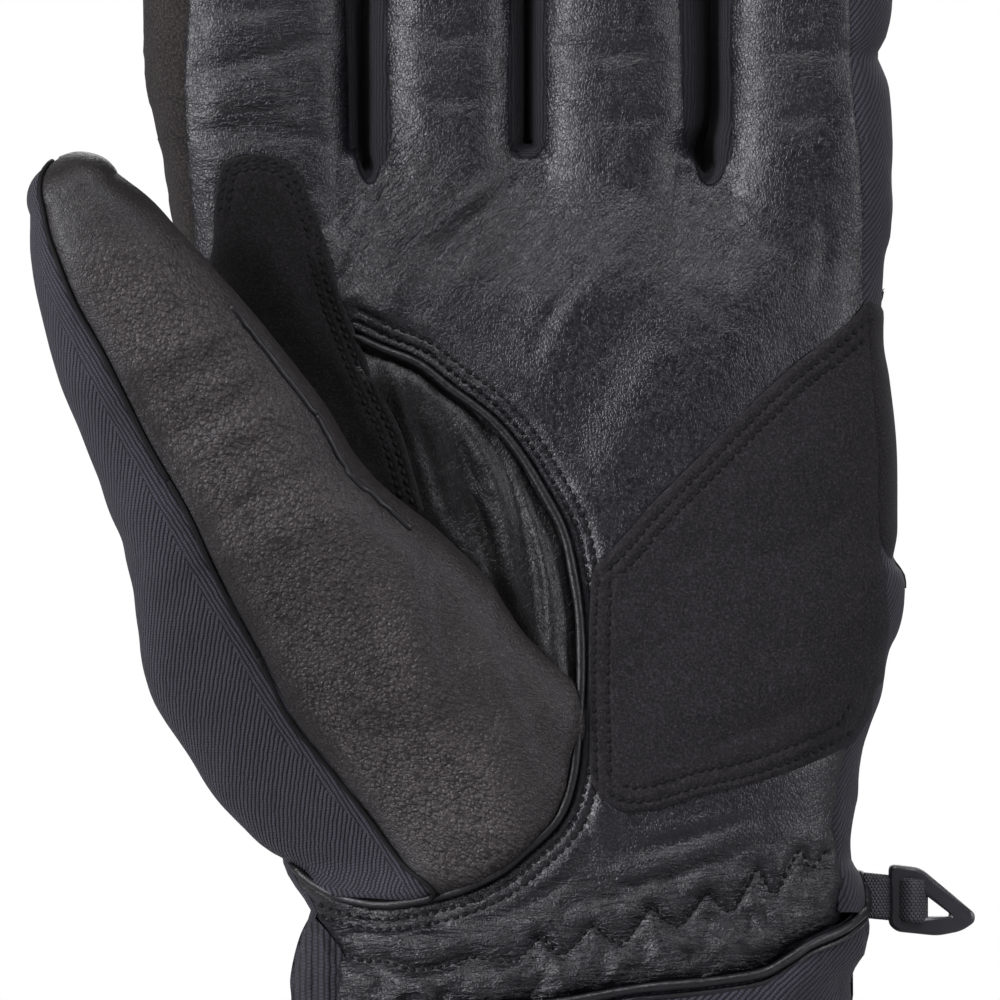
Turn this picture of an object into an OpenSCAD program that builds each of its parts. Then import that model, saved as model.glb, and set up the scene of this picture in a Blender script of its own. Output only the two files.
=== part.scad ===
// Insulated five-finger ski glove for the left hand, standing on its hem with
// the palm facing -Y, the fingers up +Z and the thumb towards -X.
// Origin: centre of the hem, on the plane the hem rests on. Millimetres.

/* [Shell] */
// Thickness of the outer leather and fabric
shell_t = 1.6; // [1.2:0.1:1.8]
// Thickness of the insulated liner inside each finger
liner_t = 3; // [2:0.2:3.2]
// Thickness of a finger, palm to back
finger_d = 27; // [25:0.5:28]

/* [Fingers] */
// Height of the index fingertip above the hem
index_tip = 278; // [270:1:284]
// Height of the middle fingertip above the hem
middle_tip = 290; // [282:1:296]
// Height of the ring fingertip above the hem
ring_tip = 284; // [276:1:290]
// Height of the little fingertip above the hem
little_tip = 261; // [255:1:266]
// Bend that the notch at the base of each finger leaves room for, in degrees
base_flex = 45; // [30:1:50]
// Bend that the notch at the middle of each finger leaves room for, in degrees
mid_flex = 60; // [40:1:65]

/* [Thumb] */
// Length of the thumb from its base hinge to its tip
thumb_len = 76; // [72:1:80]
// Bend that the notch at the base of the thumb leaves room for, in degrees
thumb_base_flex = 30; // [20:1:35]
// Bend that the notch at the middle of the thumb leaves room for, in degrees
thumb_mid_flex = 40; // [30:1:50]

/* [Cuff] */
// Width of the cuff at the hem
hem_w = 108; // [104:1:114]
// Depth of the cuff at the hem
hem_d = 66; // [60:1:72]
// Height of the hem binding
hem_h = 6; // [4:0.5:8]
// Width of the wrist strap
strap_w = 24; // [20:1:26]

/* [Clip] */
// Width of the webbing that holds the clip
web_w = 6; // [5:0.2:6.4]
// Radius of the clip's pivot bar
bar_r = 1.1; // [0.9:0.1:1.2]

/* [Hidden] */

leather_c = [0.24, 0.24, 0.26];
suede_c = [0.13, 0.13, 0.14];
twill_c = [0.19, 0.19, 0.23];
knit_c = [0.16, 0.16, 0.18];
liner_c = [0.45, 0.45, 0.48];
trim_c = [0.10, 0.10, 0.11];
plastic_c = [0.20, 0.20, 0.21];

// gap between sewn layers, and between the two halves of a hinge on the back side
lay = 0.3;
gap = 0.2;

// exponents of the flattened oval sections
nf = 2.5;
nh = 2.6;

function sg(v) = v < 0 ? -1 : 1;
function se(v, n) = sg(v) * pow(abs(v), 2 / n);
function sm(t) = let (u = min(1, max(0, t))) u * u * (3 - 2 * u);
function mix(a, b, t) = a + (b - a) * t;

// ---------------------------------------------------------------- solids

// Closed solid between an outer and an inner grid of points, rows going up and
// columns going anticlockwise. ring joins each row on itself, pole draws the
// last row together into one point.
module slab(o, i, ring = false, pole = false) {
    nr = len(o);
    nc = len(o[0]);
    n = nr * nc;
    cols = ring ? nc : nc - 1;
    function id(l, r, c) = l * n + (pole && r == nr - 1 ? r * nc : r * nc + c % nc);
    quads = [
        for (r = [0 : nr - 2], c = [0 : cols - 1]) each [
            [id(0, r, c), id(0, r + 1, c), id(0, r + 1, c + 1), id(0, r, c + 1)],
            [id(1, r, c), id(1, r, c + 1), id(1, r + 1, c + 1), id(1, r + 1, c)]
        ],
        for (c = [0 : cols - 1]) each [
            [id(0, 0, c), id(0, 0, c + 1), id(1, 0, c + 1), id(1, 0, c)],
            [id(0, nr - 1, c + 1), id(0, nr - 1, c), id(1, nr - 1, c), id(1, nr - 1, c + 1)]
        ],
        if (!ring) for (r = [0 : nr - 2]) each [
            [id(0, r + 1, 0), id(0, r, 0), id(1, r, 0), id(1, r + 1, 0)],
            [id(0, r, nc - 1), id(0, r + 1, nc - 1), id(1, r + 1, nc - 1), id(1, r, nc - 1)]
        ]
    ];
    tris = [for (q = quads) each [[q[0], q[1], q[2]], [q[0], q[2], q[3]]]];
    polyhedron(
        points = concat([for (r = o) each r], [for (r = i) each r]),
        faces = [for (t = tris) if (t[0] != t[1] && t[1] != t[2] && t[2] != t[0]) t]
    );
}

// Filled solid through a stack of rings, with flat ends.
module core(rows) {
    nr = len(rows);
    nc = len(rows[0]);
    polyhedron(
        points = [for (r = rows) each r],
        faces = concat(
            [for (r = [0 : nr - 2], c = [0 : nc - 1]) each [
                [r * nc + c, (r + 1) * nc + c, (r + 1) * nc + (c + 1) % nc],
                [r * nc + c, (r + 1) * nc + (c + 1) % nc, r * nc + (c + 1) % nc]
            ]],
            [[for (c = [0 : nc - 1]) c]],
            [[for (c = [nc - 1 : -1 : 0]) (nr - 1) * nc + c]]
        )
    );
}

// ---------------------------------------------------------------- hand

// height of the hinge line at the base of the fingers
kn_z = 203;

// left and right edge, half depth and centre depth of the hand and cuff
function hx0(z) = lookup(z, [[0, -hem_w / 2], [25, -51], [50, -47.5], [63, -46], [78, -44.5],
    [88, -46], [105, -52], [120, -56], [135, -59], [150, -60.5], [170, -62], [185, -65], [203, -68.5]]);
function hx1(z) = lookup(z, [[0, hem_w / 2], [25, 51], [50, 48.5], [63, 47], [78, 47], [88, 46.5],
    [105, 48.5], [120, 53], [135, 55], [150, 54], [170, 52.5], [185, 53], [203, 53.7]]);
function hb(z) = lookup(z, [[0, hem_d / 2], [25, 30], [50, 26.5], [63, 24.5], [78, 22.5], [88, 22],
    [105, 22], [120, 22], [135, 21.5], [150, 20.5], [170, 19], [185, 17.5], [203, 15]]);

// point of the hand at angle f, height z, off below the surface
function hp(f, z, off) = let (x0 = hx0(z) + off, x1 = hx1(z) - off)
    [(x0 + x1) / 2 + (x1 - x0) / 2 * se(cos(f), nh), (hb(z) - off) * se(sin(f), nh), z];

// palm-side depth of the hand at x, z, off above the surface
function hf(x, z, off) = let (x0 = hx0(z) - off, x1 = hx1(z) + off, t = abs((2 * x - x0 - x1) / (x1 - x0)))
    -(hb(z) + off) * pow(max(0, 1 - pow(t, nh)), 1 / nh);

// top of the hand, notched on the palm side for the finger hinge
function htop(f, off) = kn_z - gap - max(0, (hb(kn_z) - off) * se(-sin(f), nh)) * tan(base_flex / 2 + 2);

// seam between the hand and the cuff, higher at the little-finger side
function seam(f) = 62 + 19 * pow(max(0, cos(f)), 1.5);

// sector of the hand shell from angle f0 to f1, between heights given by functions of the angle
module hand_sector(f0, f1, nc, nr, o0, o1) {
    function row(off, v) = [for (c = [0 : nc]) let (f = mix(f0, f1, c / nc))
        hp(f, mix(seam(f) + 0.3, htop(f, off), v), off)];
    slab([for (r = [0 : nr]) row(o0, r / nr)], [for (r = [0 : nr]) row(o1, r / nr)]);
}

// outline of the cuff at the hem, off inside the shell's surface
module hem_outline(off) { polygon([for (c = [0 : 47]) let (p = hp(7.5 * c, 0, off)) [p[0], p[1]]]); }

// filled hand shape, for cutting the thumb's base to it
module hand_core(off) {
    core([for (z = [55 : 12 : 199]) [for (c = [0 : 35]) hp(10 * c, z, off)]]);
}

// ---------------------------------------------------------------- thumb

// base hinge of the thumb, the direction it points and its width direction
th0 = [-48, -25, 133];
thd = [-0.42, -0.2, 0.9] / norm([-0.42, -0.2, 0.9]);
thw = [0.9, 0, 0.42] / norm([0.9, 0, 0.42]);
the = cross(thd, thw);
th_mid = 40;
th_cap = 12;

function thc(s) = s >= 0 ? th0 + thd * s :
    [lookup(s, [[-45, -27], [-20, -34], [0, th0[0]]]),
     lookup(s, [[-45, -12], [-20, -19], [0, th0[1]]]),
     lookup(s, [[-45, 91], [-20, 114], [0, th0[2]]])];
function tha(s) = lookup(s, [[-45, 25], [-20, 33], [0, 24], [10, 23], [25, 19], [45, 15.5], [64, 13.5], [80, 13]]);
function thb(s) = lookup(s, [[-45, 8], [-20, 13], [0, 16], [10, 15.5], [25, 15], [45, 14], [64, 13], [80, 12.5]]);
function thp(f, s, off, sc = 1) = thc(s) + thw * ((tha(s) - off) * sc * se(cos(f), nf))
    + the * ((thb(s) - off) * sc * se(sin(f), nf));

// palm-side allowance of a hinge notch at angle f
function thn(f, s, off, flex) = max(0, (thb(s) - off) * se(-sin(f), nf)) * tan(flex / 2 + 2);

// part of the thumb: "thenar" below the base hinge, "lower" and "upper" above it
module thumb_sector(part, f0, f1, nc, nr, o0, o1, ring = false) {
    last = ring ? nc - 1 : nc;
    function lo(f, off) = part == "thenar" ? -45 :
        part == "lower" ? gap + thn(f, 0, off, thumb_base_flex) :
        th_mid + gap + thn(f, th_mid, off, thumb_mid_flex);
    function hi(f, off) = part == "thenar" ? -gap - thn(f, 0, off, thumb_base_flex) :
        part == "lower" ? th_mid - gap - thn(f, th_mid, off, thumb_mid_flex) :
        thumb_len - th_cap;
    function row(off, v) = [for (c = [0 : last]) let (f = mix(f0, f1, c / nc)) thp(f, mix(lo(f, off), hi(f, off), v), off)];
    function cap(off, t) = [for (c = [0 : last]) let (f = mix(f0, f1, c / nc))
        thp(f, thumb_len - th_cap, off, cos(t)) + thd * ((th_cap - off) * sin(t))];
    rows0 = [for (r = [0 : nr]) row(o0, r / nr)];
    rows1 = [for (r = [0 : nr]) row(o1, r / nr)];
    if (part == "upper")
        slab(concat(rows0, [for (t = [22.5 : 22.5 : 90]) cap(o0, t)]),
             concat(rows1, [for (t = [22.5 : 22.5 : 90]) cap(o1, t)]), ring = ring, pole = true);
    else
        slab(rows0, rows1, ring = ring);
}

// filled thumb shape, for cutting the thumb hole in the hand
module thumb_core(grow) {
    core([for (s = [-44, -32, -20, -10, 0, 10, 25, 40]) [for (c = [0 : 29]) thp(12 * c, s, -grow)]]);
}

// seams of the thumb, where its leather meets its fabric
th_f0 = 246;
th_f1 = 425;

// ---------------------------------------------------------------- fingers

// index, middle, ring and little finger: centre, half width, narrowing to the tip, middle hinge height, tip height
FX = [-53.2, -20.9, 7.7, 38.9];
FA = [17.6, 12.7, 14.1, 14.4];
FK = [0.25, 0.06, 0.12, 0.14];
FM = [246, 250, 248, 238];
FT = [index_tip, middle_tip, ring_tip, little_tip];
f_cap = 11;

function fa(k, z) = FA[k] * (1 - FK[k] * max(0, z - kn_z) / (FT[k] - kn_z));
function fb(k, z) = finger_d / 2 * (1 - 0.1 * max(0, z - kn_z) / (FT[k] - kn_z));
function fp(k, f, z, off, sc = 1, dz = 0) = [FX[k] + (fa(k, z) - off) * sc * se(cos(f), nf),
    (fb(k, z) - off) * sc * se(sin(f), nf), z + dz];
function fn(k, f, z, off, flex) = max(0, (fb(k, z) - off) * se(-sin(f), nf)) * tan(flex / 2 + 2);

// part of finger k, "lower" or "upper", from angle f0 to f1
module finger_sector(k, part, f0, f1, nc, nr, o0, o1, ring = false) {
    last = ring ? nc - 1 : nc;
    function lo(f, off) = part == "lower" ? kn_z + gap + fn(k, f, kn_z, off, base_flex) :
        FM[k] + gap + fn(k, f, FM[k], off, mid_flex);
    function hi(f, off) = part == "lower" ? FM[k] - gap - fn(k, f, FM[k], off, mid_flex) : FT[k] - f_cap;
    function row(off, v) = [for (c = [0 : last]) let (f = mix(f0, f1, c / nc))
        fp(k, f, mix(lo(f, off), hi(f, off), v), off)];
    function cap(off, t) = [for (c = [0 : last]) let (f = mix(f0, f1, c / nc))
        fp(k, f, FT[k] - f_cap, off, cos(t), (f_cap - off) * sin(t))];
    rows0 = [for (r = [0 : nr]) row(o0, r / nr)];
    rows1 = [for (r = [0 : nr]) row(o1, r / nr)];
    if (part == "upper")
        slab(concat(rows0, [for (t = [22.5 : 22.5 : 90]) cap(o0, t)]),
             concat(rows1, [for (t = [22.5 : 22.5 : 90]) cap(o1, t)]), ring = ring, pole = true);
    else
        slab(rows0, rows1, ring = ring);
}

// half angle of the palm leather and of the back fabric
lf_w = 50;
bk_w = 48;

module finger_leather(k, part) { color(leather_c) finger_sector(k, part, 270 - lf_w, 270 + lf_w, 10, 3, 0, shell_t); }
module finger_fabric(k, part) { color(twill_c) finger_sector(k, part, 90 - bk_w, 90 + bk_w, 10, 3, 0, shell_t); }
module finger_sides(k, part) {
    color(knit_c) {
        finger_sector(k, part, 270 + lf_w + 1, 450 - bk_w - 1, 6, 3, 0, shell_t);
        finger_sector(k, part, 90 + bk_w + 1, 270 - lf_w - 1, 6, 3, 0, shell_t);
    }
}
module finger_liner(k, part) { color(liner_c) finger_sector(k, part, 0, 360, 18, 3, shell_t + lay, shell_t + lay + liner_t, true); }

// ---------------------------------------------------------------- root pieces

module palm_leather() {
    color(leather_c) difference() {
        hand_sector(185, 329, 26, 10, 0, shell_t);
        thumb_core(1.5);
    }
}

module back_fabric() { color(twill_c) hand_sector(373, 544, 24, 9, 0, shell_t); }

module ulnar_side_panel() { color(twill_c) hand_sector(330, 372, 12, 10, 0, shell_t); }

// knit strips that close the hand between neighbouring fingers
module finger_crotches() {
    t = tan(base_flex / 2 + 3);
    color(knit_c) for (x = [-34.5, -7.3, 23.2])
        translate([x - 1.5, 0, kn_z - 0.4]) rotate([90, 0, 90]) linear_extrude(3)
            polygon([[-7, -4], [7.8, -4], [7.8, 0], [0, 0], [-7, -7 * t]]);
}

// sheet lying on the palm between two edges, from height z0 to z1
module palm_sheet(z0, z1, nr, nc, left, right, o0, o1) {
    function row(v, off) = let (z = mix(z0, z1, v), a = lookup(z, left), b = lookup(z, right))
        [for (c = [0 : nc]) let (x = mix(a, b, c / nc)) [x, hf(x, z, off), z]];
    slab([for (r = [0 : nr]) row(r / nr, o1)], [for (r = [0 : nr]) row(r / nr, o0)]);
}

module palm_patch() {
    color(suede_c) palm_sheet(98, 178, 12, 10,
        [[98, 6], [104, 3.5], [134, 3.5], [140, 9], [160, 30], [178, 45]],
        [[98, 43], [105, 45], [120, 49.5], [135, 51.5], [150, 50.5], [170, 49], [178, 49.2]], 0.5, 1.6);
}

module thumb_crotch_patch() {
    color(suede_c) difference() {
        palm_sheet(152, 196, 10, 10,
            [[152, -56.5], [170, -58], [185, -61], [196, -63]],
            [[152, -28], [158, -29], [172, -36], [184, -40], [190, -44], [196, -50]], 0.5, 1.6);
        thumb_core(1.5);
    }
}

// raised strip along the seam where the thumb's leather is sewn into the palm
WELT = [[-33, 174], [-25, 171], [-18, 166], [-12, 160], [-7, 153], [-3, 145], [0, 136], [1.5, 126],
        [1.5, 115], [1, 105], [-1, 97], [-6, 90], [-12, 85], [-19, 82], [-27, 80], [-33, 79]];
module thumb_welt() {
    n = len(WELT);
    function dir(i) = let (d = WELT[min(n - 1, i + 1)] - WELT[max(0, i - 1)]) d / norm(d);
    function side(i, s) = WELT[i] + [dir(i)[1], -dir(i)[0]] * s;
    function pt(q, off) = [q[0], hf(q[0], q[1], off), q[1]];
    color(leather_c) difference() {
        slab([for (s = [-0.8, 0.8]) [for (i = [0 : n - 1]) pt(side(i, s), 1.7)]],
             [for (s = [-0.8, 0.8]) [for (i = [0 : n - 1]) pt(side(i, s), 0.5)]]);
        thumb_core(0.3);
    }
}

// foam pad over the knuckles
module knuckle_pad() {
    function row(z, off) = [for (c = [0 : 14]) hp(mix(38, 142, c / 14), z, off)];
    function h(z) = 0.6 + 3 * sm((z - 160) / 10) * sm((198 - z) / 10);
    zs = [for (r = [0 : 7]) 161 + 5 * r];
    color(twill_c) slab([for (z = zs) row(z, -h(z) - 0.4)], [for (z = zs) row(z, -0.4)]);
}

// padding between shell and lining, palm half and back half
module hand_insulation() {
    function row(f0, f1, off, v) = [for (c = [0 : 18]) let (f = mix(f0, f1, c / 18))
        hp(f, mix(98, htop(f, off), v), off)];
    color(liner_c) difference() {
        for (q = [[181, 359], [1, 179]])
            slab([for (r = [0 : 7]) row(q[0], q[1], shell_t + 0.8, r / 7)],
                 [for (r = [0 : 7]) row(q[0], q[1], shell_t + 3.2, r / 7)]);
        thumb_core(1.5);
    }
}

// lining of the hand and cuff, closer to the shell in the cuff
module hand_lining() {
    function o(z) = shell_t + lay + 3.2 * sm((z - 44) / 22);
    function row(add, v) = [for (c = [0 : 29]) let (f = 12 * c, z = mix(hem_h + 0.2, htop(f, shell_t + 4), v))
        hp(f, z, o(z) + add)];
    color(liner_c) difference() {
        slab([for (r = [0 : 13]) row(0, r / 13)], [for (r = [0 : 13]) row(0.8, r / 13)], ring = true);
        thumb_core(1.5);
    }
}

// gathered elastic across the palm side of the wrist, inside the shell
module wrist_elastic() {
    function row(off, dz) = [for (c = [0 : 16]) let (f = mix(198, 342, c / 16)) hp(f, seam(f) + dz, off)];
    color(trim_c) slab([for (d = [6, 12, 18]) row(shell_t + lay, d)], [for (d = [6, 12, 18]) row(shell_t + 1.2, d)]);
}

module cuff_fabric() {
    function row(off, v) = [for (c = [0 : 39]) let (f = 9 * c) hp(f, mix(hem_h + 0.2, seam(f) - 0.3, v), off)];
    color(twill_c) slab([for (r = [0 : 6]) row(0, r / 6)], [for (r = [0 : 6]) row(shell_t, r / 6)], ring = true);
}

// rolled trim over the seam between hand and cuff, round the palm side
module cuff_piping() {
    function row(off, dz) = [for (c = [0 : 24]) let (f = mix(196, 376, c / 24)) hp(f, seam(f) + dz, off)];
    color(leather_c) slab([for (d = [-1.3, 0, 1.3]) row(d == 0 ? -2 : -1.4, d)], [for (d = [-1.3, 0, 1.3]) row(-0.4, d)]);
}

module hem_binding() {
    color(trim_c) linear_extrude(hem_h) difference() { hem_outline(-0.9); hem_outline(shell_t + lay + 1.2); }
}

// ---------------------------------------------------------------- wrist strap

strap_z = 70;
module back_band(z0, z1, f0, f1, nc, o0, o1) {
    function row(z, off) = [for (c = [0 : nc]) hp(mix(f0, f1, c / nc), z, off)];
    slab([for (v = [0 : 3]) row(mix(z0, z1, v / 3), o1)], [for (v = [0 : 3]) row(mix(z0, z1, v / 3), o0)]);
}
module strap_loop_pad() { color(knit_c) back_band(strap_z - strap_w / 2 + 2, strap_z + strap_w / 2 - 2, 36, 100, 14, -0.4, -1.4); }
module strap_hook_pad() { color(trim_c) back_band(strap_z - strap_w / 2 + 4, strap_z + strap_w / 2 - 4, 38, 70, 8, -1.8, -2.7); }
module wrist_strap() {
    color(leather_c) back_band(strap_z - strap_w / 2, strap_z + strap_w / 2, 28, 146, 24, -2.9, -4.7);
}

// ---------------------------------------------------------------- webbing and clip

web_x = 50;
bar_x = 57;
web_z = 79.6;

// webbing doubled round the clip's bar
module webbing_loop() {
    color(trim_c) translate([0, 2, web_z - web_w / 2]) linear_extrude(web_w) difference() {
        union() {
            translate([bar_x, 0]) circle(r = bar_r + 1.5, $fn = 40);
            translate([web_x, -1.2]) square([bar_x - web_x, 2.4]);
        }
        translate([bar_x, 0]) circle(r = bar_r + 0.15, $fn = 40);
    }
}

// moulded clip: a round pivot bar between two arms that meet at a nose
module clip() {
    module link(a, b, r) {
        d = b - a;
        translate(a) rotate([0, atan2(norm([d[0], d[1]]), d[2]), atan2(d[1], d[0])]) cylinder(r = r, h = norm(d), $fn = 24);
    }
    top = [bar_x, 2, web_z + web_w / 2 + 4.3];
    bot = [bar_x, 2, web_z - web_w / 2 - 1.4];
    nose = [67.6, 2, 76.2];
    foot = [65.8, 2, 74.4];
    color(plastic_c) union() {
        link(bot, top, bar_r);
        link(top, nose, 1.1);
        link(nose, foot, 1.1);
        link(bot, foot, 1.1);
        for (p = [top, bot, nose, foot]) translate(p) sphere(r = 1.15, $fn = 24);
    }
}

// ---------------------------------------------------------------- thumb pieces

module thenar_leather() { color(leather_c) difference() { thumb_sector("thenar", th_f0, th_f1, 14, 6, 0, shell_t); hand_core(-0.5); } }
module thenar_fabric() { color(twill_c) difference() { thumb_sector("thenar", th_f1 + 1, th_f0 + 359, 14, 6, 0, shell_t); hand_core(-0.5); } }
module thenar_liner() { color(liner_c) difference() { thumb_sector("thenar", 0, 360, 24, 6, shell_t + lay, shell_t + lay + liner_t, true); hand_core(-0.5); } }
module thumb_leather(part) { color(leather_c) thumb_sector(part, th_f0, th_f1, 14, 3, 0, shell_t); }
module thumb_fabric(part) { color(twill_c) thumb_sector(part, th_f1 + 1, th_f0 + 359, 14, 3, 0, shell_t); }
module thumb_liner(part) { color(liner_c) thumb_sector(part, 0, 360, 24, 3, shell_t + lay, shell_t + lay + liner_t, true); }

// ---------------------------------------------------------------- node table

palm_leather();
back_fabric();
ulnar_side_panel();
finger_crotches();
palm_patch();
thumb_crotch_patch();
thumb_welt();
knuckle_pad();
hand_insulation();
hand_lining();
wrist_elastic();
cuff_fabric();
cuff_piping();
hem_binding();
strap_loop_pad();
thenar_leather();
thenar_fabric();
thenar_liner();
thumb_leather("lower");  // thumb_leather_lower
thumb_fabric("lower");  // thumb_fabric_lower
thumb_liner("lower");  // thumb_liner_lower
thumb_leather("upper");  // thumb_leather_upper
thumb_fabric("upper");  // thumb_fabric_upper
thumb_liner("upper");  // thumb_liner_upper
finger_leather(0, "lower");  // index_leather_lower
finger_fabric(0, "lower");  // index_fabric_lower
finger_sides(0, "lower");  // index_sides_lower
finger_liner(0, "lower");  // index_liner_lower
finger_leather(0, "upper");  // index_leather_upper
finger_fabric(0, "upper");  // index_fabric_upper
finger_sides(0, "upper");  // index_sides_upper
finger_liner(0, "upper");  // index_liner_upper
finger_leather(1, "lower");  // middle_leather_lower
finger_fabric(1, "lower");  // middle_fabric_lower
finger_sides(1, "lower");  // middle_sides_lower
finger_liner(1, "lower");  // middle_liner_lower
finger_leather(1, "upper");  // middle_leather_upper
finger_fabric(1, "upper");  // middle_fabric_upper
finger_sides(1, "upper");  // middle_sides_upper
finger_liner(1, "upper");  // middle_liner_upper
finger_leather(2, "lower");  // ring_leather_lower
finger_fabric(2, "lower");  // ring_fabric_lower
finger_sides(2, "lower");  // ring_sides_lower
finger_liner(2, "lower");  // ring_liner_lower
finger_leather(2, "upper");  // ring_leather_upper
finger_fabric(2, "upper");  // ring_fabric_upper
finger_sides(2, "upper");  // ring_sides_upper
finger_liner(2, "upper");  // ring_liner_upper
finger_leather(3, "lower");  // little_leather_lower
finger_fabric(3, "lower");  // little_fabric_lower
finger_sides(3, "lower");  // little_sides_lower
finger_liner(3, "lower");  // little_liner_lower
finger_leather(3, "upper");  // little_leather_upper
finger_fabric(3, "upper");  // little_fabric_upper
finger_sides(3, "upper");  // little_sides_upper
finger_liner(3, "upper");  // little_liner_upper
wrist_strap();
strap_hook_pad();
webbing_loop();
clip();
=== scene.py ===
"""Looks of the ski glove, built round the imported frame. Lengths in this file are millimetres until put() makes a mesh."""
import bpy, math
import numpy as np
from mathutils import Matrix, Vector
from mathutils.geometry import delaunay_2d_cdt


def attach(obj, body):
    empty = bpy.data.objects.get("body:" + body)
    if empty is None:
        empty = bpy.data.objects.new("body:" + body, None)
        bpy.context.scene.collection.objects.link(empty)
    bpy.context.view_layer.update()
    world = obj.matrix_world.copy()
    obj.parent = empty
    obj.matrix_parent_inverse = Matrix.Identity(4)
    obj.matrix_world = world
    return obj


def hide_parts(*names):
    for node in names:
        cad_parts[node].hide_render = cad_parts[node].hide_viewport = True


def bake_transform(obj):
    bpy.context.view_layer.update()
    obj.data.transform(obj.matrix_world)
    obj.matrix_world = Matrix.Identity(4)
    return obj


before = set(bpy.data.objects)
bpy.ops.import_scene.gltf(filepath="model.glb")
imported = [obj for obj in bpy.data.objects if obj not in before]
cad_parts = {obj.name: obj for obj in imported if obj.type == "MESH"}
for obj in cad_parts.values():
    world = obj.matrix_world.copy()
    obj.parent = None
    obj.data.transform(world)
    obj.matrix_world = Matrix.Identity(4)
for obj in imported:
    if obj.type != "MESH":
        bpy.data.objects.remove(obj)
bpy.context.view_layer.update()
RNG = np.random.default_rng(7)

# ------------------------------------------------------------------ small maths

def sm(t):
    t = np.clip(t, 0, 1)
    return t * t * (3 - 2 * t)

def mix(a, b, t):
    return a + (b - a) * t

def resample(p, step):
    p = np.asarray(p, float)
    d = np.r_[0, np.cumsum(np.linalg.norm(np.diff(p, axis=0), axis=1))]
    n = max(2, int(round(d[-1] / step)) + 1)
    t = np.linspace(0, d[-1], n)
    return np.stack([np.interp(t, d, p[:, k]) for k in range(p.shape[1])], 1)

def spline(pts, step=1.0):
    """Smooth curve through the points, as a polyline with that step."""
    p = np.array(pts, float)
    p = np.vstack([2 * p[0] - p[1], p, 2 * p[-1] - p[-2]])
    out = []
    for i in range(1, len(p) - 2):
        t = np.linspace(0, 1, 16, endpoint=False)[:, None]
        a, b, c, d = p[i - 1], p[i], p[i + 1], p[i + 2]
        out.append(0.5 * (2 * b + (c - a) * t + (2 * a - 5 * b + 4 * c - d) * t * t + (3 * b - a - 3 * c + d) * t ** 3))
    out.append(p[-2][None])
    return resample(np.vstack(out), step)

def table(pts, smooth=True):
    """Function of one number through (key, value) pairs, smoothed a little."""
    p = np.array(sorted(pts), float)
    if smooth and len(p) > 2:
        q = spline(p, 0.8)
        o = np.argsort(q[:, 0], kind="stable")
        q = q[o]
        return lambda v: np.interp(v, q[:, 0], q[:, 1])
    return lambda v: np.interp(v, p[:, 0], p[:, 1])

def _hash(x, y, z, s):
    n = (x * 73856093) ^ (y * 19349663) ^ (z * 83492791) ^ (s * 40503 + 977)
    n = (n ^ (n >> 13)) & 0x7FFFFFFF
    n = (n * 1274126177) & 0x7FFFFFFF
    n = n ^ (n >> 15)
    return (n & 0xFFFF) / 32767.5 - 1.0

def noise(p, scale, seed=0):
    """Smooth value noise from -1 to 1; scale is a number or one per axis, in mm."""
    q = np.asarray(p, float) / np.asarray(scale, float)
    if q.shape[1] == 2:
        q = np.c_[q, np.zeros(len(q))]
    i = np.floor(q).astype(np.int64)
    f = q - i
    f = f * f * f * (f * (f * 6 - 15) + 10)
    r = 0
    for dx in (0, 1):
        for dy in (0, 1):
            for dz in (0, 1):
                w = (f[:, 0] if dx else 1 - f[:, 0]) * (f[:, 1] if dy else 1 - f[:, 1]) * (f[:, 2] if dz else 1 - f[:, 2])
                r = r + w * _hash(i[:, 0] + dx, i[:, 1] + dy, i[:, 2] + dz, seed)
    return r

def fbm(p, scale, seed=0, octaves=3):
    s = np.asarray(scale, float)
    return sum(noise(p, s / 2 ** k, seed + 11 * k) / 2 ** k for k in range(octaves))

def ridged(p, scale, seed=0):
    return 1 - 2 * np.abs(noise(p, scale, seed))

def line_dist(P, poly, reach=1e9):
    """Distance, side (+1 left of the direction) and length along a polyline, for each point."""
    a, b = poly[:-1], poly[1:]
    ab = b - a
    l2 = np.maximum((ab ** 2).sum(1), 1e-12)
    cum = np.r_[0, np.cumsum(np.sqrt(l2))]
    D = np.full(len(P), 1e6)
    S = np.ones(len(P))
    L = np.zeros(len(P))
    lo, hi = poly.min(0) - reach, poly.max(0) + reach
    near = np.where(((P >= lo) & (P <= hi)).all(1))[0]
    for k in range(0, len(near), 3000):
        idx = near[k:k + 3000]
        q = P[idx]
        ap = q[:, None] - a[None]
        t = np.clip((ap * ab[None]).sum(2) / l2[None], 0, 1)
        r = ap - t[..., None] * ab[None]
        d2 = (r ** 2).sum(2)
        j = d2.argmin(1)
        m = np.arange(len(idx))
        D[idx] = np.sqrt(d2[m, j])
        S[idx] = np.where(ab[j, 0] * ap[m, j, 1] - ab[j, 1] * ap[m, j, 0] >= 0, 1.0, -1.0)
        L[idx] = cum[j] + t[m, j] * np.sqrt(l2[j])
    return D, S, L

def inside(P, poly):
    x, z = P[:, 0], P[:, 1]
    r = np.zeros(len(P), bool)
    n = len(poly)
    for i in range(n):
        a, b = poly[i], poly[(i + 1) % n]
        if a[1] == b[1]:
            continue
        c = (a[1] > z) != (b[1] > z)
        r ^= c & (x < (b[0] - a[0]) * (z - a[1]) / (b[1] - a[1]) + a[0])
    return r

def area2(poly):
    x, z = poly[:, 0], poly[:, 1]
    return (x * np.roll(z, -1) - np.roll(x, -1) * z).sum()

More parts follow.
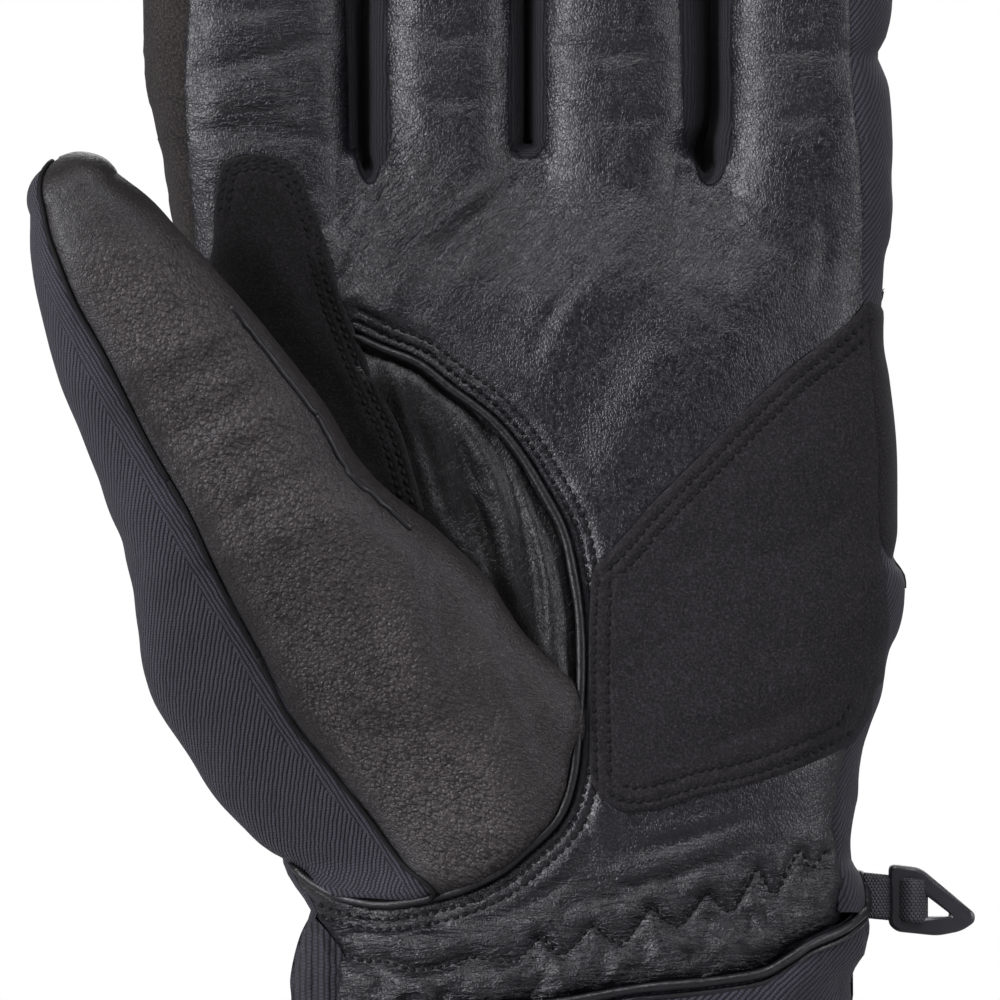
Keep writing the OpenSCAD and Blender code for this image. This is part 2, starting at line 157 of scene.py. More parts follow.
def fill(boundary, h=0.9, layers=(0.12, 0.35, 0.7, 1.15), cuts=()):
    """Triangulates the inside of a closed outline, with rows close to its edge. Gives points, triangles, distance to the edge."""
    b = np.asarray(boundary, float)
    if area2(b) < 0:
        b = b[::-1]
    closed = np.vstack([b, b[:1]])
    tan = np.roll(b, -1, 0) - np.roll(b, 1, 0)
    tan /= np.maximum(np.linalg.norm(tan, axis=1, keepdims=True), 1e-9)
    nrm = np.c_[-tan[:, 1], tan[:, 0]]
    pts = [b]
    for d in layers:
        q = b + nrm * d
        dd, _, _ = line_dist(q, closed, 3)
        pts.append(q[(dd > 0.93 * d) & inside(q, b)])
    lo, hi = b.min(0), b.max(0)
    nz = int((hi[1] - lo[1]) / (h * 0.866)) + 1
    rows = []
    for i in range(nz):
        x = np.arange(lo[0] + (0.5 * h if i % 2 else 0), hi[0], h)
        rows.append(np.c_[x, np.full(len(x), lo[1] + i * h * 0.866)])
    g = np.vstack(rows)
    g = g + RNG.uniform(-0.12, 0.12, g.shape) * h
    g = g[inside(g, b)]
    dd, _, _ = line_dist(g, closed, 3)
    g = g[dd > layers[-1] + 0.55 * h]
    for c in cuts:
        dd, _, _ = line_dist(g, c, 2)
        g = g[dd > 0.4 * h]
        c = resample(c, h * 0.8)
        cd, _, _ = line_dist(c, closed, 3)
        pts.append(c[inside(c, b) & (cd > 0.3)])
    pts.append(g)
    P = np.vstack(pts)
    r = delaunay_2d_cdt([Vector(p) for p in P], [], [list(range(len(b)))], 1, 1e-6)
    V = np.array([(v.x, v.y) for v in r[0]])
    F = np.array([f for f in r[2] if len(f) == 3], int)
    c = V[F].mean(1)
    F = F[inside(c, b)]
    used = np.unique(F)
    m = -np.ones(len(V), int)
    m[used] = np.arange(len(used))
    V, F = V[used], m[F]
    D, _, _ = line_dist(V, closed, 6)
    return V, F, np.minimum(D, 6)

def grid_faces(nr, nc, wrap=False):
    r, c = np.meshgrid(np.arange(nr - 1), np.arange(nc if wrap else nc - 1), indexing="ij")
    c2 = (c + 1) % nc
    return np.stack([r * nc + c, r * nc + c2, (r + 1) * nc + c2, (r + 1) * nc + c], -1).reshape(-1, 4)

def normals(V, F):
    F3 = F if F.shape[1] == 3 else np.vstack([F[:, [0, 1, 2]], F[:, [0, 2, 3]]])
    n = np.cross(V[F3[:, 1]] - V[F3[:, 0]], V[F3[:, 2]] - V[F3[:, 0]])
    N = np.zeros_like(V)
    for k in range(3):
        np.add.at(N, F3[:, k], n)
    return N / np.maximum(np.linalg.norm(N, axis=1, keepdims=True), 1e-12)

# ------------------------------------------------------------------ camera

CX, CZ, YREF, DIST = -11.7, 146.7, -15.0, 1200.0

def settle(V):
    """Shape seen by a camera in front: what lies further back is drawn a little wider, so that outlines keep their place. Fades out towards the hem."""
    V = np.array(V, float)
    f = np.clip(V[:, 1] - YREF, -60, 15) / DIST
    V[:, 0] = CX + (V[:, 0] - CX) * (1 + f)
    V[:, 2] = V[:, 2] + (V[:, 2] - CZ) * f * sm((V[:, 2] - 15) / 45)
    return V

# ------------------------------------------------------------------ making pieces

MATS = {}

def put(name, V, F, mat, body=None, slot=None, reps=(), pat=None, blend=None, N=None, flip=False, warp=True):
    V = np.asarray(V, float)
    W = settle(V) if warp else V
    me = bpy.data.meshes.new(name)
    F = np.asarray(F)
    if flip:
        F = F[:, ::-1]
    me.from_pydata((W * 0.001).tolist(), [], F.tolist())
    me.polygons.foreach_set("use_smooth", np.ones(len(me.polygons), bool))
    a = me.attributes.new("pat", "FLOAT_VECTOR", "POINT")
    a.data.foreach_set("vector", (V if pat is None else np.asarray(pat, float)).astype(np.float32).ravel())
    me.update()
    if N is not None:
        me.normals_split_custom_set_from_vertices(N.tolist())
    o = bpy.data.objects.new(name, me)
    bpy.context.scene.collection.objects.link(o)
    me.materials.append(MATS[mat])
    if blend:
        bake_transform(o)
    else:
        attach(o, body)
    if reps:
        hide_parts(*reps)
    return o

def sub(V, F, keep, *extra):
    F = F[keep]
    used = np.unique(F)
    m = -np.ones(len(V), int)
    m[used] = np.arange(len(used))
    return (V[used], m[F]) + tuple(e[used] for e in extra)

def join(parts):
    """Several (V, F, pat) as one; quads stay quads if all are quads."""
    V, F, P, k = [], [], [], 0
    for v, f, p in parts:
        V.append(v); F.append(f + k); P.append(p); k += len(v)
    return np.vstack(V), np.vstack(F), np.vstack(P)

def tube(path, r, nside=8, caps=True, flat=1.0, up=None):
    """Round strip along a path. flat squeezes it along `up` directions given per point."""
    p = np.asarray(path, float)
    t = np.gradient(p, axis=0)
    t /= np.maximum(np.linalg.norm(t, axis=1, keepdims=True), 1e-9)
    u = np.array(up, float) if up is not None else np.tile([0, -1.0, 0], (len(p), 1))
    u = u - (u * t).sum(1, keepdims=True) * t
    u /= np.maximum(np.linalg.norm(u, axis=1, keepdims=True), 1e-9)
    s = np.cross(t, u)
    rr = np.full(len(p), r) if np.isscalar(r) else np.asarray(r)
    a = np.linspace(0, 2 * math.pi, nside, endpoint=False)
    V = p[:, None] + rr[:, None, None] * (np.cos(a)[None, :, None] * s[:, None] + flat * np.sin(a)[None, :, None] * u[:, None])
    V = V.reshape(-1, 3)
    F = grid_faces(len(p), nside, True)
    if caps:
        k = len(V)
        V = np.vstack([V, p[0], p[-1]])
        c0 = np.array([[k, (j + 1) % nside, j, j] for j in range(nside)])
        c1 = np.array([[k + 1, (len(p) - 1) * nside + j, (len(p) - 1) * nside + (j + 1) % nside, (len(p) - 1) * nside + (j + 1) % nside] for j in range(nside)])
        return V, F, np.vstack([c0, c1])[:, :3]
    return V, F, np.zeros((0, 3), int)

def put_tube(name, path, r, mat, **k):
    args = {q: k.pop(q) for q in ("nside", "flat", "up") if q in k}
    V, F, C = tube(path, r, **args)
    F3 = np.vstack([F[:, [0, 1, 2]], F[:, [0, 2, 3]], C])
    return put(name, V, F3, mat, **k)

# ------------------------------------------------------------------ materials

def srgb(r, g, b):
    f = lambda c: c / 12.92 if c <= 0.04045 else ((c + 0.055) / 1.055) ** 2.4
    return (f(r / 255), f(g / 255), f(b / 255), 1.0)

class Nodes:
    def __init__(self, name):
        self.m = bpy.data.materials.new(name)
        self.m.use_nodes = True
        self.t = self.m.node_tree
        self.b = self.t.nodes["Principled BSDF"]
        a = self.n("ShaderNodeAttribute")
        a.attribute_type = "GEOMETRY"
        a.attribute_name = "pat"
        self.pat = a.outputs["Vector"]

    def n(self, kind, **kw):
        x = self.t.nodes.new(kind)
        for k, v in kw.items():
            setattr(x, k, v)
        return x

    def link(self, a, b):
        if hasattr(a, "is_output"):
            self.t.links.new(a, b)
        else:
            b.default_value = a

    def math(self, op, a, b=0.0, c=None, clamp=False):
        x = self.n("ShaderNodeMath", operation=op, use_clamp=clamp)
        self.link(a, x.inputs[0]); self.link(b, x.inputs[1])
        if c is not None:
            self.link(c, x.inputs[2])
        return x.outputs[0]

    def scaled(self, v, s, off=(0, 0, 0), rot=(0, 0, 0)):
        x = self.n("ShaderNodeMapping")
        self.link(v, x.inputs["Vector"])
        x.inputs["Scale"].default_value = s if not np.isscalar(s) else (s, s, s)
        x.inputs["Location"].default_value = off
        x.inputs["Rotation"].default_value = rot
        return x.outputs[0]

    def noise(self, scale, detail=2.0, rough=0.5, dist=0.0, v=None):
        x = self.n("ShaderNodeTexNoise")
        self.link(self.pat if v is None else v, x.inputs["Vector"])
        x.inputs["Scale"].default_value = scale
        x.inputs["Detail"].default_value = detail
        x.inputs["Roughness"].default_value = rough
        x.inputs["Distortion"].default_value = dist
        return x.outputs[0]

    def cells(self, scale, feature="DISTANCE_TO_EDGE", v=None, rnd=1.0):
        x = self.n("ShaderNodeTexVoronoi", feature=feature)
        self.link(self.pat if v is None else v, x.inputs["Vector"])
        x.inputs["Scale"].default_value = scale
        x.inputs["Randomness"].default_value = rnd
        return x.outputs["Distance"]

    def ramp(self, f, stops, mode="LINEAR"):
        x = self.n("ShaderNodeValToRGB")
        self.link(f, x.inputs[0])
        e = x.color_ramp.elements
        x.color_ramp.interpolation = mode
        while len(e) < len(stops):
            e.new(0.5)
        for k, (p, c) in enumerate(stops):
            e[k].position = p
            e[k].color = c if not np.isscalar(c) else (c, c, c, 1)
        return x.outputs[0]

    def span(self, f, a, b, c=0.0, d=1.0, smooth=False):
        x = self.n("ShaderNodeMapRange")
        if smooth:
            x.interpolation_type = "SMOOTHSTEP"
        self.link(f, x.inputs[0])
        for k, v in zip((1, 2, 3, 4), (a, b, c, d)):
            x.inputs[k].default_value = v
        return x.outputs[0]

    def blend(self, a, b, f, mode="MIX"):
        x = self.n("ShaderNodeMix", data_type="RGBA", blend_type=mode)
        self.link(f, x.inputs[0])
        self.link(a, x.inputs[6]); self.link(b, x.inputs[7])
        return x.outputs[2]

    def bump(self, h, dist, strength=1.0, before=None):
        x = self.n("ShaderNodeBump")
        x.inputs["Strength"].default_value = strength
        x.inputs["Distance"].default_value = dist * 0.001
        self.link(h, x.inputs["Height"])
        if before is not None:
            self.link(before, x.inputs["Normal"])
        return x.outputs[0]

    def xyz(self, v=None):
        x = self.n("ShaderNodeSeparateXYZ")
        self.link(self.pat if v is None else v, x.inputs[0])
        return x.outputs

    def done(self, color, rough, normal=None, spec=0.5, **sockets):
        self.link(color, self.b.inputs["Base Color"])
        self.link(rough, self.b.inputs["Roughness"])
        if normal is not None:
            self.link(normal, self.b.inputs["Normal"])
        if spec is not None:
            self.b.inputs["Specular IOR Level"].default_value = spec
        for k, v in sockets.items():
            self.b.inputs[k.replace("_", " ")].default_value = v
        return self.m

def dark(c, f):
    return (c[0] * f, c[1] * f, c[2] * f, 1)

def leather(name, rgb, cell=1.75, depth=0.12, rough=0.34, pebble=0.0, crease=0.5, stretch=(1, 1, 1), soft=0.14, fur=0.8, spec=0.8):
    """Grained leather: raised cells between furrows, wrinkles and an uneven sheen; the furrows and wrinkle valleys are
    coloured darker as painted shade. cell is cells per mm. The pattern's y is
    the share of wrinkles at a point: above 0 they slant up to the right, below 0 they lie level. With pebble, y is also
    the share of pebbles, and the leather is painted lighter where y is high and darker where it is low (painted
    highlight and painted shade)."""
    m = Nodes(name)
    c = srgb(*rgb)
    w = m.n("ShaderNodeVectorMath", operation="MULTIPLY_ADD")
    x = m.n("ShaderNodeTexNoise"); m.link(m.pat, x.inputs["Vector"]); x.inputs["Scale"].default_value = 0.8; x.inputs["Detail"].default_value = 2
    m.link(x.outputs[1], w.inputs[0]); w.inputs[1].default_value = (0.9, 0.9, 0.9); m.link(m.pat, w.inputs[2])
    p = m.scaled(w.outputs[0], stretch)
    px, py, pz = m.xyz()
    big = m.noise(0.12, 4, 0.6, 0.4)
    # soft undulation
    n0 = m.bump(m.noise(0.45, 2, 0.5, 0.3), soft, 1.0)
    # wrinkles, slanting or level by the pattern's y
    def wrinkle(angle, scale, mask, amount):
        v = m.scaled(m.scaled(w.outputs[0], 1.0, rot=(0, angle, 0)), scale)
        r = m.math("ABSOLUTE", m.math("SUBTRACT", m.noise(1.0, 3, 0.6, 0.3, v), 0.5))
        r = m.span(r, 0.0, 0.15, smooth=True)
        return m.math("MULTIPLY", m.math("SUBTRACT", r, 1.0), mask), amount
    up = m.span(py, 0.0, 1.0, 0.08, 1.0)
    lv = m.span(py, 0.0, -1.0, 0.04, 1.0)
    if crease:
        w1, _ = wrinkle(0.80, (0.16, 0.6, 0.85), up, 1)
        w2, _ = wrinkle(0.04, (0.15, 0.6, 0.80), lv, 1)
        wsum = m.math("ADD", w1, w2)
        n0 = m.bump(wsum, 0.20 * crease, 1.0, n0)
    grain = m.span(m.cells(cell, v=p), 0.0, 0.26, smooth=True)
    dome = m.cells(cell, "F1", v=p)
    fine = m.noise(cell * 2.0, 2, 0.6)
    h = m.math("ADD", m.math("SUBTRACT", m.math("MULTIPLY", grain, 0.6), m.math("MULTIPLY", dome, 0.5)), m.math("MULTIPLY", fine, 0.25))
    col = m.ramp(big, [(0.3, dark(c, 0.85)), (0.52, c), (0.72, dark(c, 1.15))])
    furrow = m.math("SUBTRACT", 1.0, grain)
    # wr marks the wrinkle valleys: painted shade there, and a rougher finish
    wr = m.math("MULTIPLY", wsum, -0.75, clamp=True) if crease else None
    # painted shade: the grain's furrows are coloured darker
    col = m.blend(col, dark(c, 0.12), m.math("MULTIPLY", furrow, fur))
    rg = m.span(big, 0.3, 0.7, rough - 0.04, rough + 0.05)
    if crease:
        # painted shade: the wrinkle valleys are coloured darker
        col = m.blend(col, dark(c, 0.22), wr)
        rg = m.math("ADD", rg, m.math("MULTIPLY", wr, 0.10), clamp=True)
    if pebble:
        q = m.scaled(w.outputs[0], (1.1, 1, 0.9), rot=(0, 0.6, 0))
        pf = m.cells(1.2, "SMOOTH_F1", v=q)
        pe = m.span(m.cells(1.2, v=q), 0.0, 0.34, smooth=True)
        share = m.span(py, 0.0, 1.0, 0.10, 1.0)
        # painted highlight and painted shade: the base is painted lighter where the pattern's y is high and darker
        # where it is low
        col = m.blend(dark(c, 0.62), dark(c, 1.9), m.span(py, 0.0, 0.8, 0.0, 1.0))
        # painted shade: the grain's furrows are coloured darker
        col = m.blend(col, dark(c, 0.12), m.math("MULTIPLY", furrow, fur))
        ph_ = m.math("ADD", m.math("MULTIPLY", pe, 0.35), m.math("MULTIPLY", pf, -1.0))
        n0 = m.bump(m.math("MULTIPLY", ph_, share), pebble, 1.0, n0)
        pebble_edge_shade = m.span(pf, 0.30, 0.72, 0.0, 1.0, smooth=True)
        # painted shade: the low edges between pebbles are coloured darker
        col = m.blend(col, dark(c, 0.22), m.math("MULTIPLY", m.math("MULTIPLY", pebble_edge_shade, share), 0.8))
        # painted highlight: the pebbles' tops are coloured lighter
        col = m.blend(col, dark(c, 1.5), m.math("MULTIPLY", m.math("MULTIPLY", m.span(pf, 0.0, 0.35, 1.0, 0.0, smooth=True), share), 0.7))
    MATS[name] = m.done(col, rg, m.bump(h, depth, 1.0, n0), spec)

def suede(name, rgb, rough=0.93, streak=0.0):
    """Napped leather: matt, with a short speckled nap that lies in patches."""
    m = Nodes(name)
    c = srgb(*rgb)
    nap = m.noise(2.3, 3, 0.8)
    hair = m.noise(3.0, 3, 0.7, 0.0, m.scaled(m.pat, (1, 1, 0.30)))
    lie = m.noise(0.18, 4, 0.6, 0.6)
    fleck = m.noise(0.9, 2, 0.7)
    col = m.ramp(lie, [(0.28, dark(c, 0.75)), (0.5, c), (0.74, dark(c, 1.3))])
    # painted highlight and painted shade: where the nap is high (its bump's tops) it is coloured lighter, where it is
    # low darker; the sparse brighter flecks stand for lint
    col = m.blend(col, dark(c, 3.6), m.span(nap, 0.52, 0.70, 0, 1.0))
    col = m.blend(col, dark(c, 0.15), m.span(nap, 0.30, 0.49, 1.0, 0))
    col = m.blend(col, dark(c, 7.0), m.math("MULTIPLY", m.span(nap, 0.66, 0.72, 0, 1), m.span(fleck, 0.62, 0.70, 0, 1)))
    if streak:
        col = m.blend(col, dark(c, 0.25), m.span(hair, 0.30, 0.5, streak, 0))
        col = m.blend(col, dark(c, 2.4), m.span(hair, 0.55, 0.75, 0, streak))
    n = m.bump(m.math("ADD", nap, m.math("MULTIPLY", hair, 0.5)), 0.22, 1.0)
    MATS[name] = m.done(col, rough, n, 0.2, Sheen_Weight=0.03, Sheen_Roughness=0.5)

def twill(name, rgb, pitch=0.9, angle=0.0, depth=0.16, rough=0.78, angle2=None, lift=1.6, sheen=0.05):
    """Twill: raised ribs crossed by the weft yarns. pitch is the rib spacing in mm, angle turns the ribs (0 = upright) in the pattern's x-z plane."""
    m = Nodes(name)
    c = srgb(*rgb)
    x, y, z = m.xyz()
    ca, sa = math.cos(math.radians(angle)), math.sin(math.radians(angle))
    wob = m.math("MULTIPLY", m.math("SUBTRACT", m.noise(0.5, 2, 0.5), 0.5), 0.5)
    u = m.math("ADD", m.math("ADD", m.math("MULTIPLY", x, ca), m.math("MULTIPLY", z, sa)), wob)
    v = m.math("ADD", m.math("MULTIPLY", x, -sa), m.math("MULTIPLY", z, ca))
    if angle2 is not None:                       # herringbone: the ribs turn where the pattern's y is above a half
        cb, sb = math.cos(math.radians(angle2)), math.sin(math.radians(angle2))
        k = m.math("GREATER_THAN", y, 0.5)
        k1 = m.math("SUBTRACT", 1.0, k)
        u2 = m.math("ADD", m.math("ADD", m.math("MULTIPLY", x, cb), m.math("MULTIPLY", z, sb)), wob)
        v2 = m.math("ADD", m.math("MULTIPLY", x, -sb), m.math("MULTIPLY", z, cb))
        u = m.math("ADD", m.math("MULTIPLY", u, k1), m.math("MULTIPLY", u2, k))
        v = m.math("ADD", m.math("MULTIPLY", v, k1), m.math("MULTIPLY", v2, k))
    rib = m.math("ABSOLUTE", m.math("SINE", m.math("MULTIPLY", u, math.pi / pitch)))
    step = m.math("FLOOR", m.math("DIVIDE", u, pitch))
    yarn = m.math("ABSOLUTE", m.math("SINE", m.math("MULTIPLY", m.math("ADD", v, m.math("MULTIPLY", step, pitch * 0.31)), math.pi / (pitch * 0.62))))
    h = m.math("ADD", m.math("MULTIPLY", m.math("POWER", rib, 0.6), 0.75), m.math("MULTIPLY", m.math("MULTIPLY", yarn, rib), 0.35))
    fuzz = m.noise(6.0, 3, 0.7)
    h = m.math("ADD", h, m.math("MULTIPLY", fuzz, 0.35))
    slub = m.noise(1.0, 2, 0.5, 0.0, m.scaled(m.pat, (1.2, 1.2, 0.15)))
    # painted shade and painted highlight: the grooves between ribs and between weft yarns are coloured darker and the
    # yarn crests lighter, following the weave's bump
    col = m.blend(dark(c, 0.10), dark(c, lift * 1.05), m.span(rib, 0.2, 0.9, 0, 1))
    col = m.blend(dark(c, 0.35), col, m.span(yarn, 0.0, 0.6, 0.35, 1.0))
    col = m.blend(col, dark(c, lift * 2.1), m.math("MULTIPLY", m.math("MULTIPLY", yarn, rib), m.span(fuzz, 0.4, 0.72, 0.1, 1.0)))
    col = m.blend(col, dark(c, 0.5), m.span(slub, 0.3, 0.5, 0.35, 0))
    MATS[name] = m.done(col, rough, m.bump(h, depth, 1.0), 0.25, Sheen_Weight=sheen, Sheen_Roughness=0.4)

def knit(name, rgb, pitch=1.15, depth=0.3, rough=0.85, axis=0):
    """Ribbed knit: upright ribs of small V loops. The pattern's x runs across the ribs and z along them, in mm."""
    m = Nodes(name)
    c = srgb(*rgb)
    x, y, z = m.xyz()
    wob = m.math("MULTIPLY", m.math("SUBTRACT", m.noise(0.35, 2, 0.5), 0.5), 0.9)
    u = m.math("DIVIDE", m.math("ADD", x, wob), pitch)
    rib = m.math("ABSOLUTE", m.math("SINE", m.math("MULTIPLY", u, math.pi)))
    fr = m.math("ABSOLUTE", m.math("SUBTRACT", m.math("FRACT", u), 0.5))
    loop = m.math("ABSOLUTE", m.math("SINE", m.math("MULTIPLY", m.math("ADD", z, m.math("MULTIPLY", fr, 1.1)), math.pi / 0.62)))
    fuzz = m.noise(6.5, 3, 0.7)
    h = m.math("ADD", m.math("MULTIPLY", rib, 0.8), m.math("ADD", m.math("MULTIPLY", m.math("MULTIPLY", loop, rib), 0.35), m.math("MULTIPLY", fuzz, 0.25)))
    # painted shade and painted highlight: the grooves between ribs are coloured darker and the loop crests lighter,
    # following the knit's bump
    col = m.blend(dark(c, 0.2), dark(c, 1.8), m.span(rib, 0.1, 0.95, 0, 1))
    col = m.blend(col, dark(c, 4.5), m.math("MULTIPLY", m.math("MULTIPLY", loop, rib), m.span(fuzz, 0.35, 0.75, 0.1, 0.75)))
    MATS[name] = m.done(col, rough, m.bump(h, depth, 1.0), 0.2, Sheen_Weight=0.03, Sheen_Roughness=0.4)

def web(name, rgb, rough=0.55, pitch=1.0, cross=0.55, depth=0.16):
    """Woven tape: x runs across the tape and z along it."""
    m = Nodes(name)
    c = srgb(*rgb)
    x, y, z = m.xyz()
    a = m.math("ABSOLUTE", m.math("SINE", m.math("MULTIPLY", z, math.pi / cross)))
    step = m.math("FLOOR", m.math("DIVIDE", x, pitch * 0.5))
    b = m.math("ABSOLUTE", m.math("SINE", m.math("MULTIPLY", x, math.pi / (pitch * 0.5))))
    z2 = m.math("ADD", z, m.math("MULTIPLY", step, cross * 0.5))
    k = m.math("ABSOLUTE", m.math("SINE", m.math("MULTIPLY", z2, math.pi / cross)))
    fuzz = m.noise(6.0, 2, 0.6)
    h = m.math("ADD", m.math("MULTIPLY", k, m.math("ADD", m.math("MULTIPLY", b, 0.5), 0.5)), m.math("MULTIPLY", fuzz, 0.2))
    # painted highlight and painted shade: the woven crests are coloured lighter and the hollows darker, following the
    # bump
    col = m.blend(dark(c, 0.5), dark(c, 1.5), m.math("MULTIPLY", k, m.math("ADD", m.math("MULTIPLY", b, 0.4), 0.6)))
    MATS[name] = m.done(col, rough, m.bump(h, depth, 1.0), 0.4)

def pile(name, rgb, rough=0.95, scale=2.6, depth=0.35, sheen=0.3, lift=1.5):
    """Brushed lining or loop pile."""
    m = Nodes(name)
    c = srgb(*rgb)
    tuft = m.cells(scale, "SMOOTH_F1")
    fuzz = m.noise(5.0, 4, 0.75)
    h = m.math("ADD", m.math("SUBTRACT", 1.0, tuft), m.math("MULTIPLY", fuzz, 0.7))
    col = m.ramp(m.math("ADD", m.math("MULTIPLY", tuft, 0.6), m.math("MULTIPLY", fuzz, 0.5)), [(0.2, dark(c, lift)), (0.55, c), (0.85, dark(c, 0.5))])
    MATS[name] = m.done(col, rough, m.bump(h, depth, 1.0), 0.2, Sheen_Weight=sheen)

def plastic(name, rgb, rough=0.36, spec=0.5, depth=0.02, scale=3.5):
    """Moulded plastic with a fine spark-eroded texture and slight wear."""
    m = Nodes(name)
    c = srgb(*rgb)
    g = m.noise(scale * 3, 3, 0.6)
    wear = m.noise(0.5, 4, 0.6, 0.3)
    col = m.ramp(wear, [(0.3, dark(c, 0.88)), (0.55, c), (0.78, dark(c, 1.12))])
    MATS[name] = m.done(col, m.span(wear, 0.3, 0.7, rough - 0.05, rough + 0.07), m.bump(g, depth, 1.0), spec)

def thread(name, rgb, rough=0.68):
    """Twisted sewing thread; z runs along it."""
    m = Nodes(name)
    c = srgb(*rgb)
    x, y, z = m.xyz()
    t = m.math("ABSOLUTE", m.math("SINE", m.math("ADD", m.math("MULTIPLY", z, math.pi / 0.3), m.math("MULTIPLY", x, 2.2))))
    f = m.noise(9.0, 2, 0.6)
    # painted highlight and painted shade: the twist's crests are coloured lighter and its grooves darker, following the
    # bump
    col = m.blend(dark(c, 0.6), dark(c, 1.4), m.math("MULTIPLY", t, f))
    MATS[name] = m.done(col, rough, m.bump(t, 0.05, 1.0), 0.22)

def hooks(name, rgb):
    m = Nodes(name)
    c = srgb(*rgb)
    x, y, z = m.xyz()
    a = m.math("ABSOLUTE", m.math("SINE", m.math("MULTIPLY", x, math.pi / 1.1)))
    b = m.math("ABSOLUTE", m.math("SINE", m.math("MULTIPLY", z, math.pi / 1.1)))
    d = m.math("MULTIPLY", a, b)
    f = m.noise(4.0, 2, 0.6)
    # painted highlight and painted shade: the hook tops are coloured lighter and the gaps darker, following the bump
    col = m.blend(dark(c, 0.6), dark(c, 1.6), m.span(m.math("MULTIPLY", d, m.math("ADD", f, 0.5)), 0.2, 0.8))
    MATS[name] = m.done(col, 0.45, m.bump(m.span(d, 0.3, 0.9, smooth=True), 0.5, 1.0), 0.5)

leather("leather", (24, 23, 30), 1.75, 0.056, 0.38, stretch=(1.2, 1, 0.8), soft=0.15, spec=0.45, fur=1.0, crease=0.7)
leather("leather_thumb", (47, 43, 43), 2.1, 0.055, 0.46, crease=0.0, pebble=0.36, soft=0.12, fur=0.75, spec=0.36)
leather("leather_gusset", (24, 23, 25), 1.9, 0.045, 0.40, crease=0.9, stretch=(1.4, 1, 0.7), soft=0.22, spec=0.38)
leather("leather_welt", (21, 20, 24), 2.4, 0.02, 0.38, crease=0.1, spec=0.4)
leather("leather_piping", (24, 23, 28), 2.4, 0.015, 0.36, crease=0.1, spec=0.45)
suede("suede", (27, 25, 27))
suede("suede_crotch", (19, 17, 18))
suede("suede_side", (36, 33, 32), streak=0.7)
twill("twill_back", (30, 29, 36), 0.78, 8.0, depth=0.2)
twill("twill_thumb", (33, 32, 38), 0.76, -12.0, depth=0.22, angle2=32.0, lift=2.0)
twill("twill_cuff", (32, 31, 38), 0.9, -48.0, depth=0.24, lift=2.0)
twill("twill_side", (36, 35, 42), 0.8, -35.0, depth=0.2)
twill("twill_pleat", (30, 29, 35), 1.0, 0.0, depth=0.3)
knit("knit", (19, 18, 22), 0.8, 0.25)
knit("knit_cuff", (34, 33, 38), 1.6)
knit("elastic", (40, 38, 43), 1.3, 0.35, 0.6)
web("webbing", (44, 43, 47), 0.5)
web("binding", (36, 35, 40), 0.6, 1.2, 0.5)
web("strap_tape", (36, 35, 40), 0.6, 1.3, 0.6)
pile("lining", (44, 43, 48))
pile("loop", (32, 31, 35), scale=1.8, depth=0.5)
pile("wadding", (110, 110, 114), scale=0.9, depth=0.6)
plastic("clip_plastic", (38, 37, 41), 0.34)
thread("thread", (6, 6, 8))
thread("thread_light", (50, 48, 54))
hooks("hooks", (34, 33, 37))

# ------------------------------------------------------------------ outlines and depths (x and z as the camera sees them)

HL = table([(0, -54), (25, -51), (50, -47.5), (63, -46), (66.7, -46.3), (71.7, -45.3), (76, -44), (78, -43.2), (80, -44.2), (82.5, -46), (86, -47.8), (92, -48.6), (105, -52), (120, -56), (135, -59),
            (150, -60.5), (170, -62), (185, -65), (192.5, -66), (198, -67), (205, -68.3), (211.7, -69.7), (215, -70.5), (230, -71.2)])
HR = table([(0, 54), (25, 51), (50, 48), (63.3, 46.7), (69, 47.5), (71.7, 48.7), (80, 49.2), (84.7, 48), (87.5, 46.7), (98.3, 47.7), (105.8, 48.7),
            (112.5, 51.2), (116.7, 52.3), (121.7, 53), (125, 54.5), (129, 55.3), (133, 55.5), (135, 55), (138, 53.9), (155, 53.7), (166.7, 52.5),
            (173, 51.5), (181.7, 51.8), (187.5, 52.3), (191.7, 53.3), (198, 53.8), (208, 53.7), (215, 53.2), (218, 52.3), (221, 51.2), (224, 52.7),
            (226.7, 53.3), (230, 53.7)])
FD = table([(0, 33), (26, 30), (50, 26), (63, 24), (80, 22.3), (100, 22.6), (120, 22), (140, 21.5), (160, 20.5), (180, 18.5), (195, 16), (207, 14), (240, 13.5)])
BD = table([(0, 33), (26, 30), (50, 26.5), (63, 24.3), (80, 22), (110, 21), (140, 20), (170, 18), (195, 15.5), (207, 13.8), (240, 13.5)])

class Finger:
    def __init__(s, name, L, R, tip, cap, eL, eR, mid):
        s.name, s.L, s.R, s.tip, s.cap, s.mid = name, table(L), table(R), tip, cap, mid
        s.zc = tip - cap
        s.eL, s.eR = table(eL), table(eR)
        s.body = (name + "_lower", name + "_upper")

    def frame(s, z):
        z = np.minimum(z, s.zc)
        L, R = s.L(z), s.R(z)
        return (L + R) / 2, (R - L) / 2

    def t(s, x, z):
        c, a = s.frame(z)
        return ((np.abs(x - c) / a) ** 2.2 + (np.maximum(0, z - s.zc) / s.cap) ** 2.2) ** (1 / 2.2)

    def h(s, x, z, d):
        return d * np.maximum(1 - np.clip(s.t(x, z), 0, 1) ** 2.5, 0) ** 0.4

